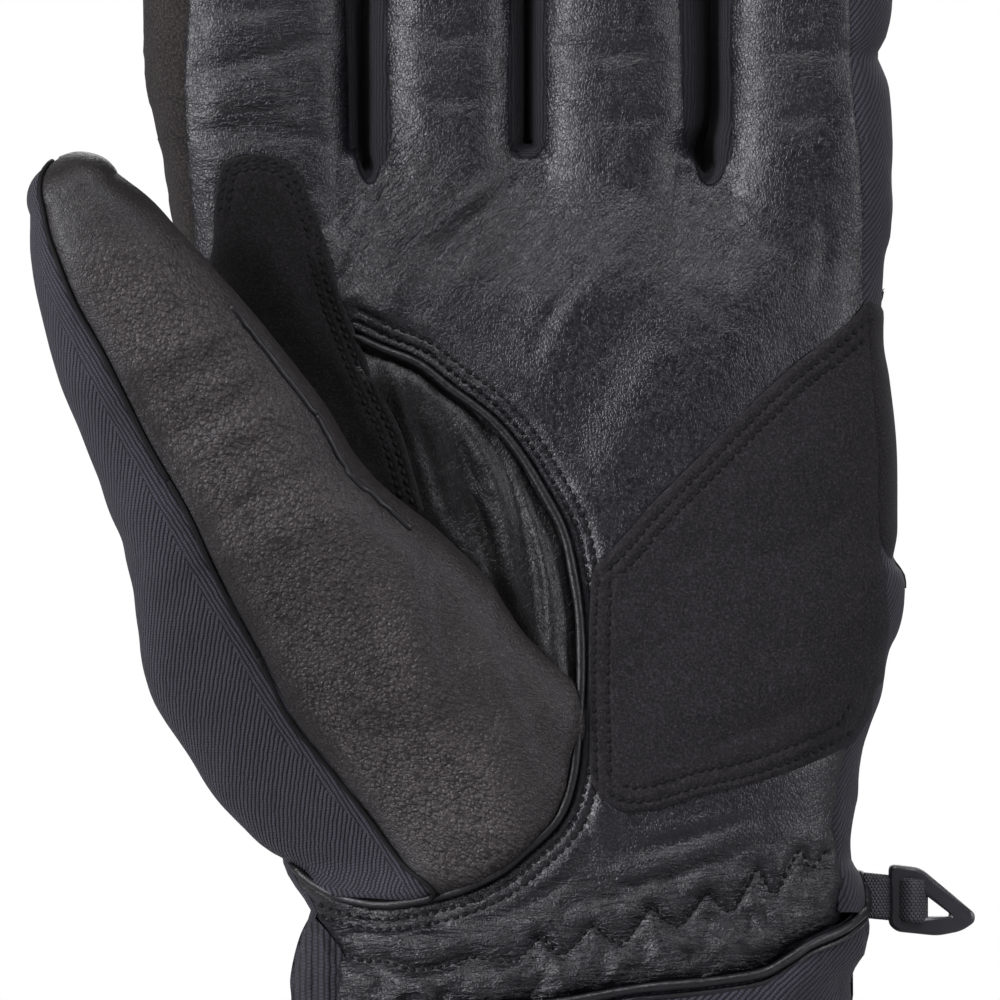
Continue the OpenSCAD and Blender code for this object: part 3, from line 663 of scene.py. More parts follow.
# a finger's leather edges (eL, eR) come from the slots; above the picture they run on to a rounded tip
FINGERS = [
    Finger("index", [(180, -64), (192.5, -66), (205, -68.3), (211.7, -69.7), (215, -70.5), (230, -71.2), (248, -70.2), (265, -67.5)],
           [(190, -34.8), (205, -35.3), (230, -35.6), (250, -37), (265, -39)], 279, 17,
           [(186, -63.5), (196.7, -63.9), (205, -64.5), (221, -64.6), (230, -64.2), (245, -65.5), (262, -64)], [(190, -36.3), (203, -36.2), (210, -36.1), (221, -36.4), (230, -36.7), (245, -38.5), (262, -41.3)], 246),
    Finger("middle", [(190, -33.7), (230, -33.7), (275, -32)], [(190, -7.7), (230, -7.7), (275, -9.5)], 291, 15,
           [(190, -31.2), (205, -30.9), (222, -31.2), (230, -31.5), (260, -31.2), (276, -29.6)], [(190, -9.2), (208, -9.3), (222, -9.4), (230, -9), (250, -10), (276, -12)], 250),
    Finger("ring", [(190, -6.8), (230, -6.8), (270, -5)], [(190, 20.5), (203, 20.5), (207, 21.3), (211.3, 22.3), (230, 22.2), (270, 20)], 285, 15,
           [(190, -4.9), (222, -4.8), (230, -4.8), (255, -4), (270, -2.5)], [(190, 20.2), (205, 20.2), (208, 19.7), (213, 19.4), (230, 18.9), (250, 18), (270, 16.5)], 248),
    Finger("little", [(190, 23.5), (205, 23.5), (212, 24.4), (230, 24.4), (250, 25.5)], [(180, 51.8), (187.5, 52.3), (191.7, 53.3), (198, 53.8), (208, 53.7),
            (215, 53.2), (218, 52.3), (221, 51.2), (224, 52.7), (230, 53.7), (240, 53), (250, 51.5)], 263, 14,
           [(190, 26.2), (209, 26.2), (222, 26), (230, 26), (248, 28)], [(186, 49.7), (205, 48.7), (213, 47.7), (221, 47.3), (230, 47), (248, 47.5)], 238),
]

def hand_h(x, z, D):
    L, R = HL(z), HR(z)
    t = np.clip(np.abs((2 * x - L - R) / (R - L)), 0, 1)
    return D(z) * np.maximum(1 - t ** 2.6, 0) ** (1 / 2.6)

def side_of(sign):
    D = FD if sign < 0 else BD
    fd = 13.5
    def y(x, z):
        x, z = np.asarray(x, float), np.asarray(z, float)
        hh = hand_h(x, z, D)
        hf = np.max([f.h(x, z, fd) for f in FINGERS], axis=0)
        w = sm((z - 180) / 27)
        fl = 0.74 * fd * (1 - sm((z - 203) / 6)) * sm((x + 50) / 8) * sm((40 - x) / 8)
        return sign * mix(hh, np.maximum(hf, fl), w)
    return y

front, back = side_of(-1), side_of(1)

# ------------------------------------------------------------------ surface detail

def fold(P, pts, width, amp, power=0.6, skew=0.0):
    """A long soft ridge (amp > 0) or crease (amp < 0) along a curve, fading at both ends."""
    c = spline(pts, 1.0)
    D, S, L = line_dist(P, c, width * 3.2)
    n = np.linalg.norm(np.diff(c, axis=0), axis=1).sum()
    f = np.clip(np.sin(np.pi * np.clip(L / n, 0, 1)), 0, 1) ** power
    w = width * (1 + skew * S)
    return amp * f * np.exp(-(D / w) ** 2)

def groove(P, c, depth, width, reach=4.0):
    D, S, L = line_dist(P, c, reach)
    return -depth * np.exp(-(D / width) ** 2)

def roll(D, r=0.9, drop=0.75):
    """How far an edge of that thickness turns down, by distance to the edge."""
    q = 1 - np.clip(D / r, 0, 1)
    return drop * (1 - np.sqrt(np.maximum(1 - q * q, 0)))

class Field:
    """Height field: finds a finished surface's depth at any point in front of it."""
    def __init__(s, V):
        from mathutils.kdtree import KDTree
        s.V = V
        s.k = KDTree(len(V))
        for i, v in enumerate(V):
            s.k.insert((v[0], 0, v[2]), i)
        s.k.balance()

    def at(s, P):
        out = []
        for x, z in P:
            r = s.k.find_n((x, 0, z), 4)
            w = np.array([1 / (d + 0.05) ** 2 for _, _, d in r])
            out.append((w * np.array([s.V[i][1] for _, i, _ in r])).sum() / w.sum())
        return np.array(out)

def offset_line(c, d):
    """The polyline moved sideways by d (to the left of its direction)."""
    t = np.gradient(c, axis=0)
    t /= np.maximum(np.linalg.norm(t, axis=1, keepdims=True), 1e-9)
    return c + d * np.c_[-t[:, 1], t[:, 0]]

def beads(centres, along, up, size, seed=3):
    """Small thread stitches: rounded bars lying along the seam. Gives V, F, pattern."""
    n = len(centres)
    along = along / np.maximum(np.linalg.norm(along, axis=1, keepdims=True), 1e-9)
    up = up - (up * along).sum(1, keepdims=True) * along
    up /= np.maximum(np.linalg.norm(up, axis=1, keepdims=True), 1e-9)
    s = np.cross(along, up)
    L, W, H = size
    rings = [(-0.5, 0.0), (-0.43, 0.62), (-0.25, 0.95), (0, 1.0), (0.25, 0.95), (0.43, 0.62), (0.5, 0.0)]
    a = np.linspace(0, 2 * math.pi, 8, endpoint=False)
    r = np.random.default_rng(seed)
    j = r.uniform(0.88, 1.1, (n, 1, 1))
    V, P = [], []
    for u, k in rings:
        ring = (centres[:, None] + along[:, None] * (u * L) * j + s[:, None] * (np.cos(a) * k * W / 2)[None, :, None] + up[:, None] * ((np.sin(a) * k * H / 2) - 0.22 * H * (2 * abs(u)) ** 2)[None, :, None])
        V.append(ring)
        P.append(np.stack([np.tile(a, (n, 1)), np.tile(np.arange(n)[:, None] * 0.37, (1, 8)), np.full((n, 8), u * L)], -1))
    V = np.stack(V, 1).reshape(-1, 3)
    P = np.stack(P, 1).reshape(-1, 3)
    f = grid_faces(len(rings), 8, True)
    m = len(rings) * 8
    F = (f[None] + (np.arange(n) * m)[:, None, None]).reshape(-1, 4)
    return V, F, P

def stitch_row(c2, field, pitch=1.62, size=(1.15, 0.8, 0.56), lift=0.05, seed=3):
    """Stitches along a line in front view, laid on a finished height field."""
    c2 = resample(c2, pitch)
    y = field.at(c2)
    p = np.c_[c2[:, 0], y - lift, c2[:, 1]]
    t = np.gradient(p, axis=0)
    e = 0.6
    gx = (field.at(c2 + [e, 0]) - field.at(c2 - [e, 0])) / (2 * e)
    gz = (field.at(c2 + [0, e]) - field.at(c2 - [0, e])) / (2 * e)
    up = np.c_[gx, -np.ones(len(c2)), gz]
    return beads(p, t, up, size, seed)

# ------------------------------------------------------------------ seams (as seen from the front)

PIPING = spline([(50.3, 85.7), (49.7, 83.3), (49.2, 81.7), (48, 80), (45.8, 77.5), (43.3, 75.3), (38.3, 73), (35.8, 71.3), (34.2, 69.2), (31.7, 67.8), (27.5, 67), (21.7, 66.2), (11.7, 65.3), (5, 64.2), (-1.7, 62.8), (-11.7, 61.7), (-25, 61), (-40, 61), (-45.7, 61.7)], 1.0)
WELT = spline([(-36.7, 174.8), (-31.7, 172.5), (-25, 169.7), (-20, 165.8), (-13.3, 160.8), (-8.3, 155), (-4.2, 148.3), (-0.8, 141.7), (0.8, 135), (2, 126.7), (2.2, 116.7), (1.7, 108.3), (0.8, 100), (-1.7, 93.3), (-6.7, 88.3), (-11.7, 84.2), (-18.3, 81.2), (-25, 79.5), (-31.7, 78.8), (-38.3, 80), (-43.3, 82.5), (-47, 85.7)], 0.8)
SLOT1 = [(-36.7, 230), (-36.5, 221.7), (-36.3, 213.3), (-36, 208.3), (-35.7, 205), (-35, 201.7), (-33.8, 199.7), (-32.8, 199.8), (-32, 201.7), (-31, 205), (-30.5, 208.3), (-30.7, 213.3), (-31.2, 221.7), (-31.5, 230)]
SLOT2 = [(-9, 230), (-9.3, 221.7), (-9.7, 213.3), (-9.3, 208.3), (-8.3, 205.3), (-7.2, 204.2), (-6, 204.8), (-5.2, 206.7), (-4.8, 210), (-4.8, 221.7), (-4.8, 230)]
SLOT3 = [(18.8, 230), (19.2, 221.7), (19.5, 213.3), (20, 208.3), (20.5, 205), (21.7, 200.7), (23.2, 199.3), (24.7, 200.3), (25.7, 202.5), (26.2, 205.8), (26.2, 213.3), (26, 221.7), (26, 230)]
SLOTS = [spline(SLOT1, 0.9), spline(SLOT2, 0.9), spline(SLOT3, 0.9)]
ULNAR = [(46, 82.7), (44.8, 86.7), (44.7, 93.3), (45.5, 100), (47.5, 107.5), (49.7, 113.3), (51.3, 123.3), (52, 130), (51.7, 138.3), (51.2, 150), (50.5, 163.3), (50, 176.7), (49.7, 185), (49.7, 190), (49.3, 196.7), (48.7, 205), (47.7, 213.3), (47.3, 221.7), (47, 230)]
INDEX_SEAM = [(-63.8, 230), (-64.5, 221.7), (-64.8, 213.3), (-64.5, 205), (-63.8, 196.7), (-63.3, 190)]
CROTCH = [(-63.3, 190), (-63, 186.3), (-58, 178.7), (-45, 176.3), (-37.5, 174.5)]

def tip_arc(f, te_l, te_r, n=36, a0=180.0, a1=0.0):
    """Points over the top of a finger at that share of its outline, left to right."""
    c, a = f.frame(f.zc)
    out = []
    for k in range(n + 1):
        q = math.radians(mix(a0, a1, k / n))
        te = mix(te_l, te_r, (1 - math.cos(math.radians(180 * k / n))) / 2)
        cs, sn = math.cos(q), math.sin(q)
        e = 2 / 2.2
        out.append((float(c + te * a * math.copysign(abs(cs) ** e, cs)), float(f.zc + te * f.cap * abs(sn) ** e)))
    return np.array(out)

def finger_top(f):
    """Leather outline above the picture's top edge: up the left edge, over the tip, down the right edge."""
    zs = np.arange(231, f.zc, 1.0)
    c, a = f.frame(f.zc)
    tl, tr = abs(float(f.eL(f.zc)) - c) / a, abs(float(f.eR(f.zc)) - c) / a
    return np.vstack([np.c_[f.eL(zs), zs], tip_arc(f, tl, tr), np.c_[f.eR(zs[::-1]), zs[::-1]]])

def palm_outline():
    p = []
    low = PIPING[::-1]
    low = low[(low[:, 0] > -39.8)]
    low = low[low[:, 0] < 45.5]
    p.append(low + [0, 0.3])
    p.append(spline(ULNAR, 0.9))
    for k in (3, 2, 1, 0):
        p.append(finger_top(FINGERS[k])[::-1])
        if k:
            p.append(SLOTS[k - 1][::-1])
    p.append(spline(INDEX_SEAM, 0.9)[1:])
    p.append(spline(CROTCH, 0.9)[1:])
    p.append(WELT)
    p.append(spline([(-46.2, 83.3), (-44.8, 81), (-43, 78.2), (-40.7, 75.3), (-39, 72.7), (-39, 67.5), (-39.8, 62)], 0.9))
    q = np.vstack(p)
    keep = [0]
    for i in range(1, len(q)):
        if np.linalg.norm(q[i] - q[keep[-1]]) > 0.25:
            keep.append(i)
    q = q[keep]
    return q

def closed(*curves):
    q = np.vstack(curves)
    k = [0]
    for i in range(1, len(q)):
        if np.linalg.norm(q[i] - q[k[-1]]) > 0.25:
            k.append(i)
    if np.linalg.norm(q[k[-1]] - q[k[0]]) < 0.25:
        k.pop()
    return q[k]

HEEL_D = spline([(53.8, 183), (49.7, 180), (46.7, 176.7), (41.7, 172.5), (38.3, 170), (31.7, 164.2), (25, 157.5), (18.3, 150.8), (13.3, 145.8), (8.3, 140), (5, 136.7), (4, 135.5)], 0.8)
HEEL_L = spline([(3.7, 134.5), (3.3, 130), (3, 121.7), (3, 113.3), (3.2, 106.7), (3.3, 100.8), (4, 98.7)], 0.8)
HEEL_B = spline([(4.8, 97), (6.2, 96), (10, 94.7), (15, 95.3), (21.7, 97.3), (30, 99.2), (38.3, 102), (45, 105), (48, 106.8), (49.7, 109.7), (51.5, 113.3)], 0.8)
HEEL_R = spline([(52.3, 116.7), (52.7, 121.7), (53.5, 126.7), (53.5, 133.3), (52.7, 138.3), (52.3, 146.7), (52.3, 155), (51.5, 165), (50.8, 173.3), (51, 180)], 0.9)
CR_L = spline([(-61.7, 180), (-60.7, 185), (-59.7, 188.3), (-59.5, 190.8), (-59.3, 194.2), (-59.2, 196.7), (-58, 202.5), (-55.8, 203.7), (-53.8, 204.2), (-51.7, 204.5), (-47.5, 203.3), (-45.3, 200.8), (-43.3, 196.7), (-40.8, 190)], 0.8)
CR_R = spline([(-40.8, 190), (-39.2, 184.2), (-38, 180), (-36.3, 175.8), (-35, 172.5), (-31.7, 165), (-28.3, 158.3), (-25.8, 150), (-24.3, 144.7)], 0.8)
CR_H = spline([(-25.3, 142.7), (-31.7, 146.7), (-38.3, 154.2), (-46.7, 164.2), (-55, 174.2), (-61.7, 179.2)], 1.2)

# ------------------------------------------------------------------ palm leather

OUT = palm_outline()
CUTS = [np.array([(-75, z), (60, z)], float) for z in (207.0, 231.0)]
ZIG = spline([(-39.3, 71.5), (-35, 70), (-30.8, 69.7), (-25.8, 68.3), (-21.2, 69), (-16.7, 70.5), (-12.5, 69.8), (-9.2, 70), (-7, 71.8), (-5, 73.7), (-3.2, 72.2), (-1.3, 71), (1.3, 73.2), (3.7, 75.8), (6.2, 73.7), (8.7, 72.8), (11.2, 75.8), (13.5, 78.7), (16, 76.5), (18.3, 75.8), (20.7, 78.7), (23, 81.2), (25, 79.2), (27, 78.3), (29.2, 82), (31.3, 85.3), (32.8, 82.5), (34.2, 81.2), (36.3, 85), (38.3, 88.3), (39.5, 86.2), (40.3, 85.3), (42.5, 88)], 0.7)
GUIDE = []
for d in (0, 0.55, -0.55, 1.1, -1.1):
    GUIDE.append(offset_line(ZIG, d))
for d in (-1.7, -2.05, -2.4, -3.3, -3.65, -4.0):
    GUIDE.append(offset_line(WELT, -d))
P2, F, D = fill(OUT, 0.86, cuts=CUTS + GUIDE)

def wrinkles(P):
    """Share of fine wrinkles: above 0 slanting (below the finger slots), below 0 level (on the fingers and the wrist)."""
    x, z = P.T
    spot = lambda px, py, rx, ry: np.exp(-(((x - (px - 570) / 6) / (rx / 6)) ** 2 + ((z - (1380 - py) / 6) / (ry / 6)) ** 2))
    s = 1.0 * spot(440, 225, 75, 75) + 0.7 * spot(395, 165, 40, 60) + 0.55 * spot(560, 240, 90, 60) + 0.35 * spot(730, 240, 70, 60)
    l = 0.9 * spot(265, 90, 75, 110) + 0.6 * spot(280, 230, 60, 30) + 0.35 * spot(450, 70, 60, 60) + 0.35 * spot(620, 60, 60, 60) + 0.35 * spot(800, 70, 60, 60) + 0.9 * sm((95 - z) / 14)
    l = l + 0.5 * sm((z - 232) / 10)
    return np.clip(s - l, -1, 1)

def palm_detail(P, D):
    x, z = P.T
    d = 0.36 * fbm(P, (19, 24), 5, 2) * sm((D - 0.5) / 6)
    low = sm((96 - z) / 16)
    up = sm((z - 120) / 30)
    # soft long creases of the worn leather
    d += 0.20 * (ridged(P + 2.5 * np.c_[noise(P, 14, 31), noise(P, 14, 32)], (26, 11), 41) - 0.55) * sm(D / 4) * (0.35 + 0.65 * low)
    d += 0.10 * fbm(P, (4.2, 3.0), 9, 2) * sm(D / 2)
    d += 0.30 * low * (ridged(P + 1.2 * np.c_[noise(P, 5, 61), noise(P, 5, 62)], (5.5, 3.6), 63) - 0.5) * sm(D / 3)
    # broad folds fanning out from the finger slots
    for pts, w, a in FOLDS:
        d += fold(P, pts, w, a * 1.45)
    # thin wrinkles beside the folds
    g = ridged(np.c_[(x + z) * 0.707 * 0.2, (z - x) * 0.707], (1.6, 1.7), 47)
    s_ = np.clip(wrinkles(P), 0, 1)
    d += 0.20 * (g - 0.5) * s_ * sm(D / 2)
    g = ridged(np.c_[x * 0.22 + 0.3 * noise(P, 9, 49), z], (1.7, 1.75), 48)
    d += 0.16 * (g - 0.5) * np.clip(-wrinkles(P), 0, 1) * sm(D / 2)
    return d

FOLDS = [
    ([(-9.2, 202.3), (-16.7, 197), (-24.2, 191), (-30.8, 182.5)], 1.7, 0.80),
    ([(-8.3, 200.5), (-15.3, 194.5), (-21.7, 188), (-27.5, 180)], 1.5, -0.62),
    ([(-6.7, 199.3), (-11.7, 192.3), (-18, 184.2), (-23.3, 176.3)], 2.0, 0.42),
    ([(-13.7, 200.3), (-20.8, 195.7), (-27.7, 190)], 1.0, -0.32),
    ([(-24.2, 197), (-28.7, 192.7), (-32, 186.3)], 1.2, -0.32),
    ([(-33, 197.3), (-34, 192.5), (-36.3, 186.3), (-40, 181.3)], 1.1, -0.6),
    ([(-31.7, 197.3), (-29.7, 193), (-28.3, 188.3)], 0.9, -0.45),
    ([(-35, 198), (-38.3, 194.2), (-42, 191.3)], 0.9, -0.45),
    ([(-34, 196.7), (-36.3, 190), (-37.5, 184.2)], 2.2, 0.5),
    ([(22.7, 197), (24.3, 190), (28.7, 181.7)], 1.2, -0.30),
    ([(24.3, 197.7), (28.3, 193), (33.7, 188.3)], 1.0, -0.27),
    ([(21.3, 197.3), (20.7, 190.8), (22, 184.2)], 1.0, -0.24),
    ([(25.3, 198.7), (30.8, 195.8), (36.7, 194.2)], 0.9, -0.21),
    ([(11.7, 196.7), (5, 186.3), (-1.7, 175), (-5, 160)], 6.5, 0.9),
    ([(21.7, 180), (15, 170), (8.3, 158.3), (4.7, 143.3)], 5.0, 0.7),
    ([(35, 188.3), (28.3, 176.7), (20, 163.3), (11.7, 151.7)], 6.0, 0.6),
    ([(-23.3, 188.3), (-28.3, 181.7), (-33, 176.3)], 2.6, 0.7),
    ([(5, 188.3), (-1.7, 180), (-6.7, 170)], 1.4, -0.35),
    ([(41.7, 196.7), (42.5, 188.3), (40.8, 180)], 1.3, -0.3),
    ([(-55, 188.3), (-46.7, 186.3), (-38.3, 186.3)], 1.6, -0.35),
    # index: two creases slanting up to the right, with swellings between them
    ([(-63, 218.3), (-55.2, 219.5), (-45.3, 222.3), (-38, 225)], 1.5, -0.55),
    ([(-63, 207.8), (-53.8, 208.5), (-45.3, 207.8), (-39, 205.7)], 1.4, -0.42),
    ([(-61.2, 225), (-55, 225.5), (-48.3, 224)], 3.4, 0.50),
    ([(-61.2, 214.3), (-54.2, 214.5), (-47, 215)], 3.6, 0.60),
    ([(-41, 223), (-40.5, 215.8), (-41.3, 208)], 2.4, 0.50),
    ([(-48, 221.3), (-46.7, 215.3), (-44.7, 209.7)], 1.8, -0.42),
    ([(-62.3, 228.7), (-53.3, 228), (-45, 230)], 1.3, -0.30),
    ([(-59, 211.2), (-51.7, 211.7), (-45, 212.3)], 0.9, -0.18),
    # middle, ring and little: fainter
    ([(-29.2, 225), (-21.7, 223.7), (-12.5, 225)], 1.4, -0.35),
    ([(-28.7, 214.7), (-20, 213.3), (-10.8, 215)], 1.6, -0.4),
    ([(-3.3, 222.7), (6.7, 221), (16.3, 222.7)], 1.5, -0.4),
    ([(-3, 212), (6.7, 210), (17.3, 211.7)], 1.6, -0.35),
    ([(27.7, 223.3), (36.7, 221.3), (45.8, 223)], 1.5, -0.4),
    ([(27.7, 212), (36.7, 210.3), (46.7, 212.7)], 1.6, -0.35),
    # wrist
    ([(-37.5, 75), (-25, 73), (-11.7, 74.3), (-1.7, 79)], 1.6, 0.7),
    ([(-28.3, 75.8), (-16.7, 75.8), (-5, 80.8), (3.3, 86.7)], 1.1, -0.5),
    ([(3.3, 83.3), (11.7, 85.3), (21.7, 88), (31.7, 92)], 1.8, 0.6),
    ([(1.7, 79.2), (11.7, 82), (21.7, 85.3), (33.3, 90.3)], 1.1, -0.45),
    ([(6.7, 88.3), (15, 89.2), (25, 92), (35, 95.7)], 1.1, -0.4),
    ([(11.7, 91.3), (21.7, 93), (31.7, 96.3)], 1.2, 0.35),
    ([(0.8, 94.2), (3.3, 90.8), (1.7, 85)], 1.4, -0.5),
]

zd, zs, zl = line_dist(P2, ZIG, 9)
disp = palm_detail(P2, D)
disp -= 0.85 * np.exp(-(zd / 0.75) ** 2)
disp += 0.55 * np.exp(-((zd - 2.6) / 1.7) ** 2)
pucker = np.sin(zl / 1.9 + 2.2 * noise(P2, 9, 61)) * np.exp(-((zd - 2.4) / 1.9) ** 2)
disp += 0.35 * pucker
# crinkles under the zigzag
zt = table([(x, z) for x, z in ZIG[::4]], False)
under = sm((zt(P2[:, 0]) - P2[:, 1] - 0.6) / 3.0) * sm((P2[:, 0] + 36) / 6) * sm((zd - 0.8) / 1.6)
Wq = P2 + 1.3 * np.c_[noise(P2, 6, 201), noise(P2, 6, 202)]
disp += under * (0.62 * (ridged(np.c_[Wq[:, 0] + 0.5 * Wq[:, 1], Wq[:, 1]], (3.4, 7.0), 203) - 0.4) + 0.30 * (ridged(np.c_[Wq[:, 0] - 0.7 * Wq[:, 1], Wq[:, 1]], (1.9, 4.4), 204) - 0.4))
# gathers between the elastic and the piping
pd, ps, pl = line_dist(P2, PIPING, 14)
disp += 0.45 * np.sin(pl / 1.55 + 2.6 * noise(P2, 11, 77)) * np.exp(-((pd - 3.2) / 3.0) ** 2) * sm((pd - 0.4) / 1.5)
disp += 0.9 * np.exp(-((pd - 4.5) / 2.8) ** 2) - 0.9 * np.exp(-(pd / 1.4) ** 2)
# the leather is drawn down into its sewn edges
wd, ws, wl = line_dist(P2, WELT, 9)
disp -= 0.5 * np.exp(-((wd - 1.9) / 0.42) ** 2) * (ws > 0) + 0.42 * np.exp(-((wd - 3.65) / 0.42) ** 2) * (ws > 0)
disp += 0.35 * np.exp(-((wd - 2.8) / 0.5) ** 2) + 0.5 * np.exp(-((wd - 5.6) / 1.8) ** 2)
disp -= 0.55 * np.exp(-np.maximum(D, 0) / 1.6) * (zd > 3)
for poly in (closed(HEEL_D[2:], HEEL_L, HEEL_B[:-3], HEEL_R), closed(CR_L, CR_R, CR_H)):
    hd, _, _ = line_dist(P2, np.vstack([poly, poly[:1]]), 6)
    k_ = inside(P2, poly) * sm(hd / 1.6)
    disp = mix(disp, np.minimum(disp, 0) * 0.3 - 0.7, k_)
y = front(P2[:, 0], P2[:, 1]) - disp + roll(D, 1.0, 0.9)
V = np.c_[P2[:, 0], y, P2[:, 1]]
N = normals(V, F)
if N[:, 1].mean() > 0:
    F = F[:, ::-1]
    N = -N
PALM = Field(V)
cz = V[F].mean(1)[:, 2]
cx = V[F].mean(1)[:, 0]
PAT = np.c_[V[:, 0], wrinkles(P2), V[:, 2]]
Nw = normals(settle(V), F)
v, f, n_, p_ = sub(V, F, cz < 207, Nw, PAT)
put("palm_leather_skin", v, f, "leather", "root", "leather", ["palm_leather"], N=n_, pat=p_)
for k, fg in enumerate(FINGERS):
    lo = -100 if k == 0 else (FINGERS[k - 1].R(215) + fg.L(215)) / 2
    hi = 100 if k == 3 else (fg.R(215) + FINGERS[k + 1].L(215)) / 2
    mine = (cx > lo) & (cx < hi)
    v, f, n_, p_ = sub(V, F, mine & (cz > 207) & (cz < 231), Nw, PAT)
    put(fg.name + "_leather_lower_skin", v, f, "leather", slot="leather", reps=[fg.name + "_leather_lower"], N=n_, pat=p_, blend=("root", fg.body[0], (0, 0, 0.207e3), (0, 0, 0.230e3)))
    v, f, n_, p_ = sub(V, F, mine & (cz > 231), Nw, PAT)
    put(fg.name + "_leather_upper_skin", v, f, "leather", slot="leather", reps=[fg.name + "_leather_upper"], N=n_, pat=p_, blend=(fg.body[0], fg.body[1], (0, 0, max(231.5, fg.mid - 12)), (0, 0, fg.mid + 11)))
for k, d, s_ in (("a", 2.05, 3), ("b", 3.65, 4)):
    q = offset_line(WELT, d)[6:-4]
    q = q[q[:, 0] > HL(q[:, 1]) + 2.0]
    v, f, p = stitch_row(q, PALM, seed=s_)
    put("welt_stitches_" + k, v, f, "thread", "root", pat=p)
v, f, p = stitch_row(ZIG, PALM, 1.5, (1.15, 0.72, 0.5), 0.1, 8)
put("elastic_stitches", v, f, "thread", "root", pat=p)
q = offset_line(PIPING, -1.9)
q = q[(q[:, 0] > -30) & (q[:, 0] < 43)]
v, f, p = stitch_row(q, PALM, 1.5, (1.2, 0.6, 0.45), 0.0, 9)
put("cuff_seam_stitches", v, f, "thread", "root", pat=p)

# ------------------------------------------------------------------ suede patches

def patch(name, outline, raise_by, layers, body, mat, slot, reps, y_base, h=0.95, rows=(), edge=(1.0, 0.85), extra=None, turned=None):
    P, F, D = fill(outline, h, layers)
    De = D if turned is None else line_dist(P, turned, 8)[0]
    y = y_base(P) - raise_by + roll(De, *edge)
    for d0 in rows:
        y = y + 0.34 * np.exp(-((D - d0) / 0.34) ** 2) - 0.12 * np.exp(-((D - d0 - 0.9) / 0.45) ** 2) - 0.12 * np.exp(-((D - d0 + 0.9) / 0.45) ** 2)
    y = y - 0.28 * fbm(P, 9, 71, 3) * sm(D / 5) - 0.07 * fbm(P, 2.4, 72, 2)
    if extra is not None:
        y = y - extra(P, D)
    V = np.c_[P[:, 0], y, P[:, 1]]
    N = normals(V, F)
    if N[:, 1].mean() > 0:
        F = F[:, ::-1]
    put(name, V, F, mat, body, slot, reps, N=normals(settle(V), F))
    return Field(V)

LAY = (0.12, 0.35, 0.7, 1.1)
def lay(*rows):
    q = list(LAY)
    for r in rows:
        q += [r - 0.35, r, r + 0.35, r + 0.8]
    return tuple(sorted(set(round(v, 2) for v in q)))

base_palm = lambda P: front(P[:, 0], P[:, 1])

heel = closed(HEEL_D[2:], HEEL_L, HEEL_B[:-3], HEEL_R)
diag = np.vstack([HEEL_D[4:], HEEL_L])
def heel_extra(P, D):
    e = 0
    for c, rows in ((HEEL_D[3:], (2.0, 4.0)), (HEEL_L, (1.0, 3.3)), (HEEL_B, (1.7, 4.1))):
        d, s, l = line_dist(P, c, 6)
        for r in rows:
            e = e - 0.34 * np.exp(-((d - r) / 0.38) ** 2) + 0.10 * np.exp(-((d - r - 0.9) / 0.45) ** 2)
    for pts, w, a in HEELF:
        e = e + fold(P, pts, w, a)
    return e
HEELF = [
    ([(11.7, 136.7), (25, 146.7), (38.3, 155)], 4.0, 0.5), ([(11.7, 110), (25, 113.3), (41.7, 121.7)], 4.5, 0.5), ([(6.7, 121.7), (18.3, 123.3), (31.7, 130)], 2.0, -0.35),
    ([(21.7, 103.3), (33.3, 110), (46.7, 115)], 1.6, -0.4), ([(28.3, 136.7), (38.3, 140), (48.7, 146.7)], 1.8, -0.35), ([(11.7, 100), (21.7, 103), (31.7, 106.7)], 1.4, 0.3)]
HEEL = patch("palm_heel_patch", heel, 0.75, (0.12, 0.35, 0.7, 1.05, 1.4, 1.75, 2.1, 2.5, 3.0, 3.4, 3.8, 4.2, 4.6), "root", "suede", "suede", ["palm_patch"], base_palm, extra=heel_extra, turned=np.vstack([HEEL_D[2:], HEEL_L, HEEL_B[:-3], HEEL_R[HEEL_R[:, 1] < 137.5]]))
for nm, c, ds, sd in (("heel_stitches_diagonal", HEEL_D[3:], (2.0, 4.0), 1), ("heel_stitches_left", HEEL_L, (1.0, 3.3), 1), ("heel_stitches_low", HEEL_B, (1.7, 4.1), 1)):
    parts = []
    for d in ds:
        q = offset_line(c, sd * d)[(2 if d < 3 else 4):(-2 if d < 3 else -4)]
        parts.append(stitch_row(q[q[:, 0] < HR(q[:, 1]) - 2.6], HEEL, seed=int(d * 10)))
    v, f, p = join(parts)
    put(nm, v, f, "thread", "root", pat=p)

def crotch_extra(P, D):
    e = 0
    d, s, l = line_dist(P, CR_L[18:], 6)
    for r in (1.0, 2.4):
        e = e - 0.34 * np.exp(-((d - r) / 0.36) ** 2)
    d, s, l = line_dist(P, CR_R, 6)
    for r in (1.6, 3.3):
        e = e - 0.34 * np.exp(-((d - r) / 0.36) ** 2)
    return e + fold(P, [(-53.3, 191.7), (-46.7, 180), (-38.3, 166.7)], 3.4, 0.8) + fold(P, [(-50, 198.3), (-45, 186.3), (-40, 176.7)], 2.2, -0.4) + fold(P, [(-40, 171.7), (-34.7, 161.7), (-29, 151.7)], 1.8, 0.45)
CROT = patch("thumb_crotch_skin", closed(CR_L, CR_R, CR_H), 0.8, (0.12, 0.35, 0.7, 1.05, 1.4, 1.8, 2.4, 2.8, 3.3, 3.7), "root", "suede_crotch", "suede", ["thumb_crotch_patch"], base_palm, extra=crotch_extra)
parts = [stitch_row(offset_line(CR_L[18:], -d)[2:-2], CROT, seed=int(d * 10)) for d in (1.0, 2.4)]
parts += [stitch_row(offset_line(CR_R, -d)[2:-3], CROT, seed=int(d * 7)) for d in (1.6, 3.3)]
v, f, p = join(parts)
put("crotch_stitches", v, f, "thread", "root", pat=p)

# ------------------------------------------------------------------ gusset between thumb and welt

